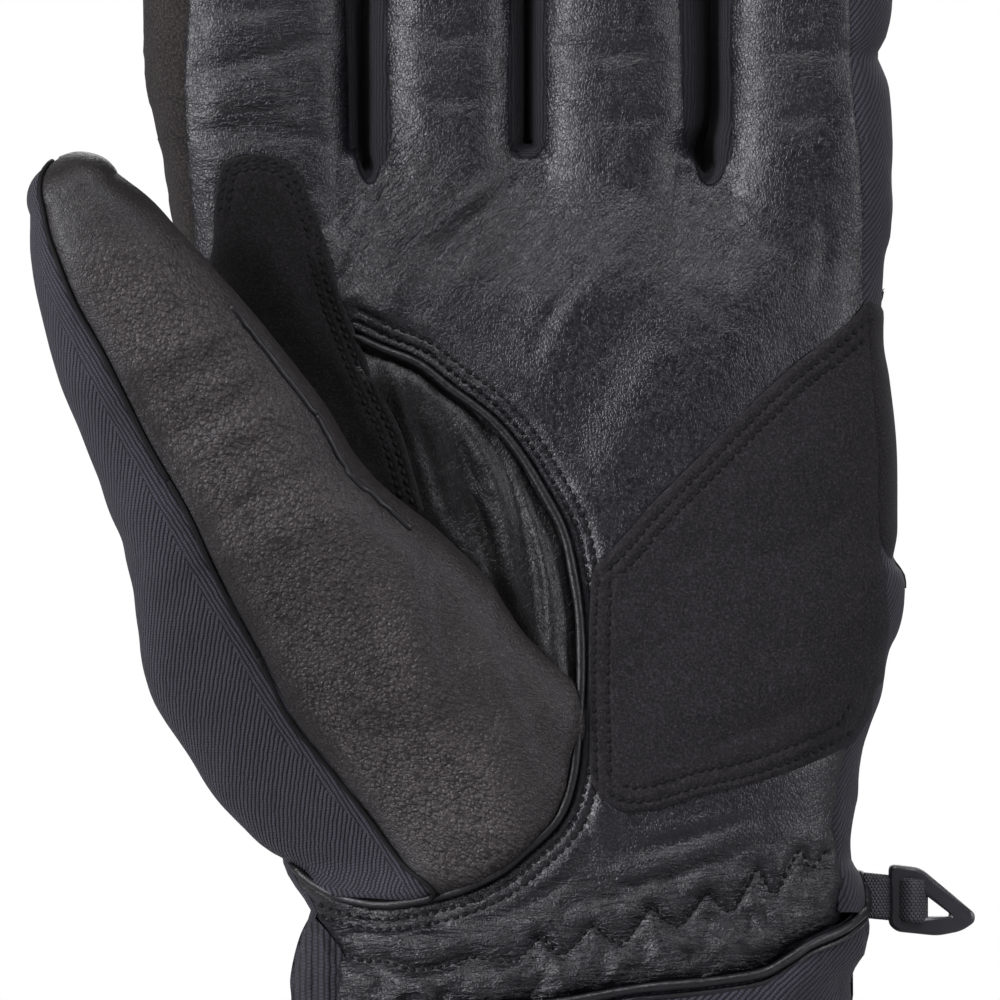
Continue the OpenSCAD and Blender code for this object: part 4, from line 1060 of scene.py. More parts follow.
G_R = offset_line(WELT, -0.1)
G_R = G_R[(G_R[:, 1] > 111.5)]
gus = closed(spline([(-38.7, 176.3), (-36.3, 175)], 0.9), G_R, spline([(0.8, 112.3), (-4.2, 115), (-9.2, 120.8), (-16.7, 128.3), (-24.2, 136.7), (-27.5, 143.3), (-29.7, 151.7), (-33, 160.8), (-36.7, 169.7), (-38.7, 176.3)], 1.0))
def gusset_y(P):
    d, s, l = line_dist(P, G_R, 30)
    return front(P[:, 0], P[:, 1]) + 0.35 + 1.1 * np.exp(-(d / 1.7) ** 2) - 1.3 * np.exp(-((d - 5.5) / 3.4) ** 2)
def gusset_extra(P, D):
    w = np.c_[P[:, 0] * 0.86 + P[:, 1] * 0.35, P[:, 1]]
    e = 0.55 * (ridged(w + 1.5 * np.c_[noise(P, 12, 91), noise(P, 12, 92)], (4.4, 30), 93) - 0.4) * sm(D / 3)
    for pts, wd_, a in GUSF:
        e = e + fold(P, pts, wd_, a)
    return e
GUSF = [([(-19.2, 163.3), (-13.7, 151.7), (-9.7, 136.7), (-8.3, 123.3)], 1.3, 0.9), ([(-16.7, 163.3), (-10.7, 151.7), (-6.3, 136.7), (-5, 121.7)], 1.0, -0.9), ([(-22.5, 163.3), (-18, 153.3), (-14, 140), (-11.7, 128.3)], 1.1, -0.9),
        ([(-12.5, 158.3), (-6.7, 145), (-3, 130), (-2.3, 118.3)], 1.4, 0.7), ([(-8.3, 151.7), (-3.7, 140), (-0.7, 126.7)], 0.9, -0.6), ([(-25, 161.7), (-21.7, 153.3), (-18.7, 143.3)], 1.2, 0.6),
        ([(-28.3, 168), (-21.7, 163.3), (-16.7, 158.3)], 1.2, 0.5)]
P, F, D = fill(gus, 0.8)
y = gusset_y(P) - gusset_extra(P, D) - 0.06 * fbm(P, 2.6, 94, 2)
V = np.c_[P[:, 0], y, P[:, 1]]
if normals(V, F)[:, 1].mean() > 0:
    F = F[:, ::-1]
put("thumb_gusset", V, F, "leather_gusset", "root", "leather", N=normals(settle(V), F), pat=np.c_[V[:, 0], np.full(len(V), 0.15), V[:, 2]])

# ------------------------------------------------------------------ welt

def on_front(c, lift, y=None):
    return np.c_[c[:, 0], (front(c[:, 0], c[:, 1]) if y is None else y) - lift, c[:, 1]]

def smooth_line(v, k=9):
    w = np.ones(k) / k
    q = np.pad(v, ((k // 2, k // 2), (0, 0)), mode="edge")
    return np.stack([np.convolve(q[:, i], w, "valid") for i in range(v.shape[1])], 1)

wc = resample(offset_line(WELT, -0.45), 0.7)
wp = on_front(wc, 0.25)
g = 0.6
up = np.c_[(front(wc[:, 0] + g, wc[:, 1]) - front(wc[:, 0] - g, wc[:, 1])) / (2 * g), -np.ones(len(wc)), (front(wc[:, 0], wc[:, 1] + g) - front(wc[:, 0], wc[:, 1] - g)) / (2 * g)]
r = 0.78 * (1 + 0.08 * noise(wc, 3.0, 5)) * sm((np.arange(len(wc)) + 2) / 6) * sm((len(wc) + 2 - np.arange(len(wc))) / 6)
put_tube("welt_strip", wp, r, "leather_welt", body="root", slot="leather", reps=["thumb_welt"], nside=12, flat=0.95, up=up)

# ------------------------------------------------------------------ sides of the hand and the fingers

def cap_path(f, side, te=1.0, n=14):
    """Quarter turn over the fingertip from that side (-1 left, 1 right) to the top, at that share of the outline."""
    c, a = f.frame(f.zc)
    q = np.radians(np.linspace(0, 90, n))
    e = 2 / 2.2
    return np.c_[c + side * te * a * np.abs(np.cos(q)) ** e, f.zc + te * f.cap * np.abs(np.sin(q)) ** e]

def strip(rows_m, rows_f, rows_b, yf, yb, nf=14, nb=10, gap=None):
    """Band from a front edge (rows_f, depth yf) over the outline (rows_m, depth 0) to a back edge (rows_b, depth yb).
    Columns run front to back. Gives a grid of points (rows, columns, 3)."""
    u = np.linspace(0, 1, nf)
    fx = np.sin(u * math.pi / 2)[None, :, None]
    front_ = rows_f[:, None] + (rows_m - rows_f)[:, None] * fx
    fy = yf[:, None] * (np.cos(u * math.pi / 2) ** 0.85)[None, :]
    u2 = np.linspace(0, 1, nb + 1)[1:]
    back_ = rows_m[:, None] + (rows_b - rows_m)[:, None] * (1 - np.cos(u2 * math.pi / 2))[None, :, None]
    by = yb[:, None] * (np.sin(u2 * math.pi / 2) ** 0.85)[None, :]
    xz = np.concatenate([front_, back_], 1)
    yy = np.concatenate([fy, by], 1)
    G = np.stack([xz[..., 0], yy, xz[..., 1]], -1)
    if gap is not None:
        w = sm((yy + 0.5) / 4.5) * (1 - sm((yy - 6) / 5.5)) * (np.abs(np.asarray(gap)) > 1e-6)[:, None]
        G[..., 0] = mix(G[..., 0], (rows_m[:, 0] + np.asarray(gap))[:, None], w)
    return G

def grid_piece(name, G, mat, pat, body=None, thick=None, facing=(0, -1, 0), bump=None, **k):
    nr, nc = G.shape[:2]
    V = G.reshape(-1, 3)
    F = grid_faces(nr, nc)
    N = normals(V, F)
    if (N @ np.array(facing)).sum() < 0:
        F = F[:, ::-1]
        N = -N
    if bump is not None:
        V = V + N * np.asarray(bump).reshape(-1, 1)
    return put(name, V, F, mat, body, pat=pat.reshape(-1, 3), N=normals(settle(V), F), **k)

def arc_pat(G, sign=1.0):
    """Pattern coordinates: x across the columns, z down the rows, in mm along the surface."""
    dc = np.linalg.norm(np.diff(G, axis=1), axis=2)
    dr = np.linalg.norm(np.diff(G, axis=0), axis=2)
    x = np.concatenate([np.zeros((G.shape[0], 1)), np.cumsum(dc, 1)], 1)
    mid = G.shape[1] // 2
    z = np.concatenate([[0], np.cumsum(dr[:, mid])])
    x = x - x[:, mid:mid + 1]
    return np.stack([x, np.zeros_like(x), np.tile(z[:, None], (1, G.shape[1]))], -1)

def side_rows(f, side, z0, z1, step=1.1):
    """Edge rows of one side of a finger between two heights; past the cap's start they turn over the tip."""
    e = f.eL if side < 0 else f.eR
    o = f.L if side < 0 else f.R
    zs = np.linspace(z0, min(z1, f.zc), max(3, int((min(z1, f.zc) - z0) / step)))
    m = np.c_[o(zs), zs]
    fr = np.c_[e(zs) - side * 1.1, zs]
    bk = np.c_[o(zs) - side * 3.4, zs]
    if z1 > f.zc:
        c, a = f.frame(f.zc)
        te = abs(float(e(f.zc)) - c) / a
        tb = 1 - 3.4 / a
        q = cap_path(f, side)[1:]
        m = np.vstack([m, q])
        fr = np.vstack([fr, cap_path(f, side, te - 1.1 / a)[1:]])
        bk = np.vstack([bk, cap_path(f, side, tb)[1:]])
    return m, fr, bk

LOWER, UPPER = (207.0, 231.0), (231.0, 400.0)
for k, fg in enumerate(FINGERS):
    for side in (-1, 1):
        leather_side = k == 0 and side < 0
        twill_sd = k == 3 and side > 0
        mat = "suede_side" if leather_side else ("twill_side" if twill_sd else "knit")
        slot = "suede" if leather_side else ("twill" if twill_sd else "rib_knit")
        for part, (z0, z1) in (("lower", LOWER), ("upper", UPPER)):
            m, fr, bk = side_rows(fg, side, z0, z1)
            yf = front(fr[:, 0], fr[:, 1]) + 0.75
            yb = back(bk[:, 0], bk[:, 1]) - 0.6
            gp = np.zeros(len(m))
            if side > 0 and k < 3:
                gp = np.clip((FINGERS[k + 1].L(m[:, 1]) - fg.R(m[:, 1])) / 2 + 0.07, 0, 2)
            if side < 0 and k > 0:
                gp = -np.clip((fg.L(m[:, 1]) - FINGERS[k - 1].R(m[:, 1])) / 2 + 0.07, 0, 2)
            gp = gp * (1 - sm((m[:, 1] - fg.zc + 6) / 6)) * (1 - sm((m[:, 1] - 240) / 10))
            G = strip(m, fr, bk, yf, yb, 14, 16, gp)
            pt = arc_pat(G)
            pt[..., 2] += z0
            b = None
            if leather_side:
                b = 0.25 * fbm(pt.reshape(-1, 3)[:, [0, 2]], (5, 4), 21, 2)
            nm = "%s_side_%s_%s" % (fg.name, "l" if side < 0 else "r", part)
            bl = ("root", fg.body[0], (0, 0, 207.0), (0, 0, 230.0)) if part == "lower" else (fg.body[0], fg.body[1], (0, 0, max(231.5, fg.mid - 12)), (0, 0, fg.mid + 11))
            grid_piece(nm, G, mat, pt, facing=(side, 0, 0.3), slot=slot, blend=bl, bump=b, reps=[fg.name + "_sides_" + part] if side < 0 else ())

# radial side of the hand above the thumb: the index strip runs down into the crotch
def hand_side(z0, z1, side, edge_f, edge_b, step=1.2):
    zs = np.linspace(z0, z1, int((z1 - z0) / step) + 2)
    o = (HL if side < 0 else HR)(zs)
    return np.c_[o, zs], np.c_[edge_f(zs), zs], np.c_[edge_b(zs), zs], zs

iseam = table([(z, x) for x, z in [(-63.8, 230), (-64.8, 213.3), (-63.8, 196.7), (-63.3, 190), (-63, 186)]])
m, fr, bk, zs = hand_side(186.0, 207.0, -1, lambda z: iseam(z) + 1.1, lambda z: HL(z) + 3.4)
G = strip(m, fr, bk, front(fr[:, 0], fr[:, 1]) + 0.75, back(bk[:, 0], bk[:, 1]) - 0.6, 12, 10)
pt = arc_pat(G); pt[..., 2] += 186
grid_piece("index_side_base", G, "suede_side", pt, "root", facing=(-1, 0, 0), slot="suede", bump=0.25 * fbm(pt.reshape(-1, 3)[:, [0, 2]], (5, 4), 21, 2))
# behind the thumb the back's twill wraps round to the front
m, fr, bk, zs = hand_side(62.5, 187.0, -1, lambda z: HL(z) + mix(1.2, 9, sm((z - 87) / 6)), lambda z: HL(z) + 4.4, 2.0)
G = strip(m, fr, bk, front(fr[:, 0], fr[:, 1]) + 0.8, back(bk[:, 0], bk[:, 1]) - 0.3, 12, 10)
pt = arc_pat(G)
grid_piece("hand_back_turned_edge", G, "twill_back", pt, "root", facing=(-1, 0, 0), slot="twill")
# ulnar side: twill from the leather's seam to the back
useam = table([(z, x) for x, z in ULNAR])
m, fr, bk, zs = hand_side(78.0, 207.0, 1, lambda z: useam(z) - 1.3, lambda z: HR(z) - 4.4, 1.1)
G = strip(m, fr, bk, front(fr[:, 0], fr[:, 1]) + 0.7, back(bk[:, 0], bk[:, 1]) - 0.3, 14, 10)
pt = arc_pat(G); pt[..., 2] += 78
b = 0.30 * fbm(pt.reshape(-1, 3)[:, [0, 2]], (9, 7), 23, 2)
grid_piece("ulnar_twill", G, "twill_side", pt, "root", facing=(1, 0, 0), slot="twill", bump=b, reps=["ulnar_side_panel"])
# the heel patch carries on round the little-finger edge
zs = np.linspace(132.0, 181.5, 45)
tap = sm((181.5 - zs) / 4) * sm((zs - 133) / 9)
o = HR(zs) + mix(-0.9, 0.75, tap)
fe = table([(z, x) for x, z in [(50.3, 181.7), (50.7, 173.3), (51.3, 165), (52.2, 155), (52.2, 146.7), (52.5, 138.3), (53, 133.3), (53.2, 126.7), (52.3, 121.7), (51.7, 115), (50.7, 111.3)]])(zs)
wrap = sm((zs - 135) / 7) * sm((181.5 - zs) / 9)
be = HR(zs) + 0.6 - 0.05 - 2.6 * wrap
yb_ = 0.4 + (back(HR(zs) - 2.6, zs) * 0.62) * wrap
G = strip(np.c_[o, zs], np.c_[fe - 0.9, zs], np.c_[be, zs], front(fe - 0.9, zs) + 0.1 - 0.82 * tap + 1.0 * (1 - tap), yb_, 12, 8)
pt = arc_pat(G); pt[..., 2] += 132
dcol = np.cumsum(np.concatenate([np.zeros((G.shape[0], 1)), np.linalg.norm(np.diff(G, axis=1), axis=2)], 1)[:, ::-1][:, :-1], 1)
grid_piece("heel_patch_turned", G, "suede", pt, "root", facing=(1, 0, 0), slot="suede")

# knit between the fingers, closing the hand
CRO = []
for k in range(3):
    s = SLOTS[k]
    low = np.where(s[:, 1] < 207.0)[0]
    c = s[low[0]:low[-1] + 1]
    e0 = mix(s[low[0] - 1], s[low[0]], (s[low[0] - 1][1] - 207.0) / (s[low[0] - 1][1] - s[low[0]][1]))
    e1 = mix(s[low[-1] + 1], s[low[-1]], (s[low[-1] + 1][1] - 207.0) / (s[low[-1] + 1][1] - s[low[-1]][1]))
    c = resample(np.vstack([e0, c, e1]), 0.6)
    t = np.gradient(c, axis=0)
    t /= np.linalg.norm(t, axis=1, keepdims=True)
    into = np.c_[-t[:, 1], t[:, 0]]                      # towards the slot (path runs down, round and up)
    zbot = c[:, 1].min()
    a, b = FINGERS[k], FINGERS[k + 1]
    lx, rx = a.R(c[:, 1]), b.L(c[:, 1])
    mid = (lx + rx) / 2
    f = sm((c[:, 1] - zbot - 0.2) / min(5.0, 206.6 - zbot))
    n = len(c)
    left = np.arange(n) < np.argmin(c[:, 1])
    fr = mix(c - into * 1.1, np.c_[np.where(left, a.eR(c[:, 1]) - 1.1, b.eL(c[:, 1]) + 1.1), c[:, 1]], f[:, None])
    mx = np.where(left, mix(mix(c[:, 0], mid, 0.55), lx, f), mix(mix(c[:, 0], mid, 0.55), rx, f))
    mz = c[:, 1] + 1.5 * (1 - f)
    m = np.c_[mx, mz]
    m[3:-3] = smooth_line(m, 5)[3:-3]
    bx = np.where(left, lx - 3.4, rx + 3.4)
    bk = np.c_[mix(mix(c[:, 0], mid, 0.4), bx, f), c[:, 1] - 0.4 * (1 - f)]
    gp = mid + np.where(left, 0.07, -0.07) - m[:, 0]
    G = strip(m, fr, bk, front(fr[:, 0], fr[:, 1]) + 0.75, back(bk[:, 0], bk[:, 1]) - 0.6, 14, 16, gp)
    pt = arc_pat(G)
    pt = pt[..., [2, 1, 0]]
    V = G.reshape(-1, 3); Fq = grid_faces(*G.shape[:2])
    N = normals(V, Fq)
    if N[:, 2].sum() < 0:
        Fq = Fq[:, ::-1]
    CRO.append((V, Fq, arc_pat(G).reshape(-1, 3)))
v, f, p = join(CRO)
put("finger_crotches_knit", v, f, "knit", "root", "rib_knit", ["finger_crotches"], pat=p)

# ------------------------------------------------------------------ thumb and the mound below it

TL = [(-90.2, 194.2), (-90, 188.3), (-88.7, 180), (-86.7, 172.5), (-84.2, 164.2), (-80.8, 155), (-77.5, 146.7), (-73.8, 135.8), (-72, 125), (-70, 115), (-65.8, 107.5), (-59.2, 97.5), (-53.3, 90.8), (-50, 88), (-48.3, 87), (-47.7, 86.5), (-47.3, 86.2)]
TR = [(-75.8, 200.8), (-70, 196.2), (-64.7, 190.7), (-59.7, 185), (-53.3, 177.5), (-47, 170), (-41.3, 162.8), (-34.7, 152), (-24.2, 143), (-15, 134.2), (-7.5, 123.3), (2.2, 113.3), (0.8, 101.7), (-4.2, 90.3), (-11.7, 84.2), (-23.3, 79.7), (-38.3, 79.8)]
TYL = [-40, -39, -38, -36.5, -35, -32, -29.5, -26.5, -21, -15, -10.5, -7, -5, -4, -3.5, -3, -2]
TYR = [-40, -39, -38, -36.5, -35, -32, -29.5, -27.5, -25.5, -24, -22.8, -22, -22, -22, -22, -21, -17]
TBF = [10.5, 12.5, 13.5, 14, 14.5, 15, 15.5, 16, 15.5, 14.5, 13.5, 12, 10.5, 9, 7.5, 5.5, 3.5]
TBB = [10.5, 12, 13, 13.5, 14, 14.5, 15, 16, 17, 19, 21, 22, 20, 18, 15, 11, 6]
TEX = [0.83, 0.83, 0.83, 0.83, 0.83, 0.84, 0.86, 0.92, 1.0, 1.1, 1.25, 1.45, 1.5, 1.5, 1.4, 1.3, 1.2]
TSEAM = spline([(-87.7, 195), (-87.2, 191.7), (-85.8, 187.5), (-82.5, 179.2), (-78.3, 171.7), (-74.2, 163.3), (-70, 155), (-64.2, 145), (-60, 135.8), (-55.8, 127.5), (-50.8, 118.3), (-46.7, 110), (-40, 101.7), (-33.3, 93.3), (-27.5, 85.3), (-22.3, 81.2), (-21.3, 77.5)], 0.8)
NROW = 176

def along(vals, n):
    """Smooth interpolation of per-station values on a parameter that follows the stations' centres."""
    v = np.array(vals, float)
    if v.ndim == 1:
        v = v[:, None]
    c = (np.array(TL) + np.array(TR)) / 2
    d = np.r_[0, np.cumsum(np.maximum(np.linalg.norm(np.diff(c, axis=0), axis=1), 2.0))]
    q = np.hstack([d[:, None], v])
    s = spline(q, 0.25)
    t = np.linspace(0, d[-1], n)
    return np.stack([np.interp(t, s[:, 0], s[:, 1 + k]) for k in range(v.shape[1])], 1)

L_, R_ = along(TL, NROW), along(TR, NROW)
yL_, yR_, bf_, bb_, ex_ = (along(t, NROW)[:, 0] for t in (TYL, TYR, TBF, TBB, TEX))
station = along(list(range(len(TL))), NROW)[:, 0]
yR_ = np.where(station > 10.5, front(R_[:, 0], R_[:, 1]) + 0.5, yR_)
yR_ = smooth_line(yR_[:, None], 9)[:, 0]

def seam_share(L, R):
    """Where the seam crosses each row, from -1 at the left outline to 1 at the right edge."""
    out = []
    for a, b in zip(L, R):
        d = b - a
        s = (TSEAM - a)
        side = d[0] * s[:, 1] - d[1] * s[:, 0]
        hit = np.where(np.sign(side[:-1]) != np.sign(side[1:]))[0]
        if len(hit) == 0:
            out.append(np.nan)
            continue
        i = hit[0]
        w = side[i] / (side[i] - side[i + 1])
        p = TSEAM[i] + w * (TSEAM[i + 1] - TSEAM[i])
        out.append(((p - a) @ d) / (d @ d) * 2 - 1)
    out = np.array(out)
    ok = ~np.isnan(out)
    return np.clip(np.interp(np.arange(len(out)), np.where(ok)[0], out[ok]), -0.97, 0.97)

us = seam_share(L_, R_)
us = smooth_line(us[:, None], 5)[:, 0]

NCAP = 16
def thumb_row(i, ph):
    """Points of row i at those angles: 180 the left outline, 270 the front, 360 the right edge, 90 the back. Negative rows are the rounded tip."""
    k = max(i, 0)
    q = 0.0 if i >= 0 else (-i) / NCAP * math.pi / 2
    L, R = L_[k], R_[k]
    c, w = (L + R) / 2, (R - L) / 2
    cs, sn = np.cos(ph), np.sin(ph)
    s = np.abs(sn)
    u = np.sign(cs) * np.abs(cs) ** 0.8
    right = cs > 0
    e = np.where(right & (sn < 0), ex_[k], 0.83)
    dep = np.where(sn < 0, -bf_[k] * s ** e, bb_[k] * s ** 0.83)
    y = mix(yL_[k], yR_[k], (1 + u) / 2) + dep
    sc = max(math.cos(q), 0.004) ** 0.82
    n = np.array([-w[1], w[0]]) / np.linalg.norm(w)
    n = n if n[1] > 0 else -n
    yc = (yL_[k] + yR_[k]) / 2
    x = c[0] + w[0] * u * sc + n[0] * 6.4 * math.sin(q)
    z = c[1] + w[1] * u * sc + n[1] * 6.4 * math.sin(q)
    y = yc + (y - yc) * sc
    return np.stack([x, y, z], -1)

def even(p, n, dense=0.0):
    """n points evenly along a polyline, closer together near both ends if dense."""
    d = np.r_[0, np.cumsum(np.linalg.norm(np.diff(p, axis=0), axis=1))]
    t = np.linspace(0, 1, n)
    if dense:
        t = mix(t, (1 - np.cos(t * math.pi)) / 2, dense)
    t = t * d[-1]
    return np.stack([np.interp(t, d, p[:, k]) for k in range(3)], 1), t

rows = list(range(-NCAP, NROW))
NLEA, NTWI = 104, 84
LG, LT, TG, TT = [], [], [], []
for i in rows:
    u = us[max(i, 0)]
    if i < 0:
        u = mix(us[0], -0.55, -i / NCAP)
    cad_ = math.pi + math.acos(min(1, abs(u) ** 1.25)) if u < 0 else 2 * math.pi - math.acos(min(1, abs(u) ** 1.25))
    st = station[max(i, 0)]
    end = 2 * math.pi + math.radians(mix(62, 14, float(sm((st - 8.5) / 2.5))))
    a = thumb_row(i, np.linspace(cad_, end, 300))
    g, t = even(a, NLEA, 0.35)
    LG.append(g); LT.append(t)
    a = thumb_row(i, np.linspace(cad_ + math.radians(5), math.radians(60), 300))
    g, t = even(a, NTWI, 0.2)
    TG.append(g); TT.append(t)
LG, LT, TG, TT = map(np.array, (LG, LT, TG, TT))
rowlen = np.r_[0, np.cumsum(np.linalg.norm(np.diff(LG[:, NLEA // 2], axis=0), axis=1))]
st_rows = np.array([station[max(i, 0)] for i in rows])
irow = np.array(rows)

# leather: pattern coordinates, edge roll at the seam, creases
nr = len(rows)
V0 = LG.reshape(-1, 3)
FL = grid_faces(nr, NLEA)
NL = normals(V0, FL)
if NL[:, 1].mean() > 0:
    FL = FL[:, ::-1]; NL = -NL
seamdist = LT.reshape(-1)
P2 = V0[:, [0, 2]]
dsp = 0.45 + 0.0 * seamdist
dsp -= roll(seamdist, 0.9, 1.0)
dsp -= 0.60 * np.exp(-seamdist / 1.3)
dsp += 0.30 * fbm(V0, (11, 11, 11), 51, 3) * sm(seamdist / 4)
stf = np.repeat(st_rows, NLEA)
then = sm((stf - 9) / 3)
# pattern for the thumb leather: x the distance from the seam, z the length along the thumb; y is the share of pebbles
# and also the painted highlight, high from about 7 mm from the seam and fading past 17 mm, near zero at the seam and
# over the tip, where the leather is painted darker as painted shade
pt2 = np.c_[seamdist, sm((seamdist - 1.0) / 6) * (1 - 0.75 * sm((seamdist - 17) / 14)) * sm((np.repeat(st_rows, NLEA) - 0.6) / 2.5), np.repeat(rowlen, NLEA)]
dsp += (0.25 * then + 0.10) * (ridged(np.c_[P2[:, 0] * 0.8 - P2[:, 1] * 0.55, P2[:, 0] * 0.55 + P2[:, 1] * 0.8] + 1.8 * np.c_[noise(P2, 13, 55), noise(P2, 13, 56)], (24, 7.5), 57) - 0.5) * sm(seamdist / 3)
THF = [
    ([(-71.7, 163.3), (-61.7, 168), (-51.3, 173.7)], 2.6, -0.5), ([(-68.3, 156.7), (-57.5, 161.7), (-47.5, 168)], 2.0, -0.6), ([(-73.3, 168.3), (-63.3, 173), (-54.2, 178)], 2.4, 0.5), ([(-65.8, 151.7), (-55, 158), (-43.3, 162.5)], 2.4, 0.5),
    ([(-60.8, 141.7), (-50, 148.3), (-36.7, 154.2)], 1.8, -0.5), ([(-59.2, 136.7), (-46.7, 141.7), (-31.7, 146.7)], 2.5, 0.5), ([(-76.7, 180), (-70, 184.2), (-63.3, 187.5)], 1.6, -0.35),
    ([(-23.3, 140), (-21.7, 130), (-18, 116.7), (-11.7, 108.3)], 2.2, -0.7), ([(-28.3, 141.7), (-27, 130), (-23.3, 115)], 2.4, 0.6), ([(-35, 140), (-33.3, 126.7), (-28.3, 111.7), (-20, 100)], 2.0, -0.5),
    ([(-41.7, 126.7), (-37.5, 113.3), (-30, 100)], 2.6, 0.5), ([(-15, 126.7), (-11.7, 115), (-6.7, 106.7)], 2.0, 0.6), ([(-45, 115), (-38.3, 105), (-29.2, 93.3)], 1.5, -0.4),
    ([(-21.7, 113.3), (-16.7, 101.7), (-13.3, 91.7)], 1.8, -0.5), ([(-8.3, 116.7), (-5, 106.7), (-5.8, 96.7)], 1.6, -0.5), ([(-29.2, 106.7), (-23.3, 95), (-20, 86.7)], 2.0, 0.5)]
fr_ok = (NL[:, 1] < 0.1)
for pts, w, a in THF:
    dsp += fold(P2, pts, w, a) * fr_ok
# free edge over the gusset and along the welt: turned under
wd_, _, _ = line_dist(P2, WELT, 8)
dsp -= 0.55 * np.exp(-(wd_ / 1.3) ** 2) * (stf > 10.8)
VL = V0 + NL * dsp[:, None]
NLw = normals(settle(VL), FL)
TH0, THD = np.array([-48, -25, 133.0]), np.array([-0.42, -0.2, 0.9]); THD /= np.linalg.norm(THD)
THUMB = None
s_row = ((LG[:, NLEA // 2] - TH0) @ THD)

def row_cut(limit):
    """Grid row whose whole width lies past that distance along the thumb, counted from the tip."""
    for r in range(nr - 1, -1, -1):
        if ((np.vstack([LG[r], TG[r]]) - TH0) @ THD).min() > limit:
            return r
    return 0

def row_cut2(limit):
    """First grid row whose whole width lies below that distance."""
    for r in range(nr):
        if ((np.vstack([LG[r], TG[r]]) - TH0) @ THD).max() < limit:
            return r
    return nr - 1

rU = int(np.argmin(np.abs(s_row - 25)))
rT = row_cut2(-7.5)
sU = ((np.vstack([LG[rU], TG[rU]]) - TH0) @ THD)
sT = ((np.vstack([LG[rT], TG[rT]]) - TH0) @ THD)
LOW = tuple(TH0 + THD * (sT.max() + 0.3)), tuple(TH0 + THD * min(16.0, sU.min() - 0.3))
UPP = tuple(TH0 + THD * (sU.max() + 0.3)), tuple(TH0 + THD * (max(52.0, sU.max() + 20)))
print("thumb rows", rU, rT, nr, "s", sT.max(), sU.min(), sU.max())
facerow = (FL.min(1) // NLEA)
parts3 = (("thumb_leather_upper_skin", lambda r: r < rU, "thumb_leather_upper", ("thumb_lower", "thumb_upper") + UPP, None),
          ("thumb_leather_lower_skin", lambda r: (r >= rU) & (r < rT), "thumb_leather_lower", ("root", "thumb_lower") + LOW, None),
          ("thenar_leather_skin", lambda r: r >= rT, "thenar_leather", None, "root"))
for nm, sel, rep, bl, body in parts3:
    v, f, p, n_ = sub(VL, FL, sel(facerow), pt2, NLw)
    put(nm, v, f, "leather_thumb", body, "leather", [rep], pat=p, blend=bl, N=n_)

# twill back of the thumb
V1 = TG.reshape(-1, 3)
FT_ = grid_faces(nr, NTWI)
N1 = normals(V1, FT_)
toward = V1 - np.repeat(((np.c_[(L_ + R_)[:, 0] / 2, (yL_ + yR_) / 2, (L_ + R_)[:, 1] / 2])[[max(i, 0) for i in rows]]), NTWI, axis=0)
if (N1 * toward).sum() < 0:
    FT_ = FT_[:, ::-1]; N1 = -N1
rl = np.repeat(rowlen, NTWI)
# the weave keeps its direction in the front view: it is laid out from the seam, row by row
dir_ = (L_ - R_) / np.linalg.norm(L_ - R_, axis=1, keepdims=True)
dir_ = smooth_line(dir_, 21)[[max(i, 0) for i in rows]]
near_seam = (TT.reshape(-1) < 5.5) * 1.0
pt3 = np.c_[(TG[:, :1, 0] + TT * dir_[:, :1]).reshape(-1), near_seam, (TG[:, :1, 2] + TT * dir_[:, 1:]).reshape(-1)]
d1 = 0.35 * fbm(V1, (14, 14, 14), 58, 2) - 0.9 * np.exp(-(TT.reshape(-1) / 1.5) ** 2)
d1 += 0.35 * np.sin(rl / 2.4 + 2.0 * noise(V1, 12, 59)) * np.exp(-((np.repeat(st_rows, NTWI) - 6.5) / 1.5) ** 2) * 0.6
V1 = V1 + N1 * d1[:, None]
N1w = normals(settle(V1), FT_)
facerow = (FT_.min(1) // NTWI)
for nm, sel, rep, bl, body in (("thumb_fabric_upper_skin", lambda r: r < rU, "thumb_fabric_upper", ("thumb_lower", "thumb_upper") + UPP, None),
                               ("thumb_fabric_lower_skin", lambda r: (r >= rU) & (r < rT), "thumb_fabric_lower", ("root", "thumb_lower") + LOW, None),
                               ("thenar_fabric_skin", lambda r: r >= rT, "thenar_fabric", None, "root")):
    v, f, p, n_ = sub(V1, FT_, sel(facerow), pt3, N1w)
    put(nm, v, f, "twill_thumb", body, "twill", [rep], pat=p, blend=bl, N=n_)

def thumb_line(name, col_share, r, mat, r0, r1, bl, body, lift=0.2, src=None, nside=8):
    """Raised strip along the thumb leather's grid at that share of its width."""
    c = int(col_share * (NLEA - 1)) if src is None else src
    G = VL.reshape(nr, NLEA, 3)
    NG = NLw.reshape(nr, NLEA, 3)
    p = G[r0:r1 + 1, c] + NG[r0:r1 + 1, c] * lift
    return put_tube(name, p, r, mat, body=body, blend=bl, nside=nside, up=NG[r0:r1 + 1, c], slot="leather")

def edge_col(phi_share):
    """Column of the leather grid nearest the right outline, per row, as points."""
    G = VL.reshape(nr, NLEA, 3)
    NG = NLw.reshape(nr, NLEA, 3)
    idx = []
    for r in range(nr):
        R = R_[max(irow[r], 0)]
        d = np.linalg.norm(G[r][:, [0, 2]] - (R + (L_[max(irow[r], 0)] - R) * phi_share), axis=1)
        front_side = NG[r][:, 1] < 0.15
        d[~front_side] = 99
        idx.append(int(d.argmin()))
    idx = np.round(smooth_line(np.array(idx, float)[:, None], 7)[:, 0]).astype(int)
    return np.array([G[r, idx[r]] for r in range(nr)]), np.array([NG[r, idx[r]] for r in range(nr)])
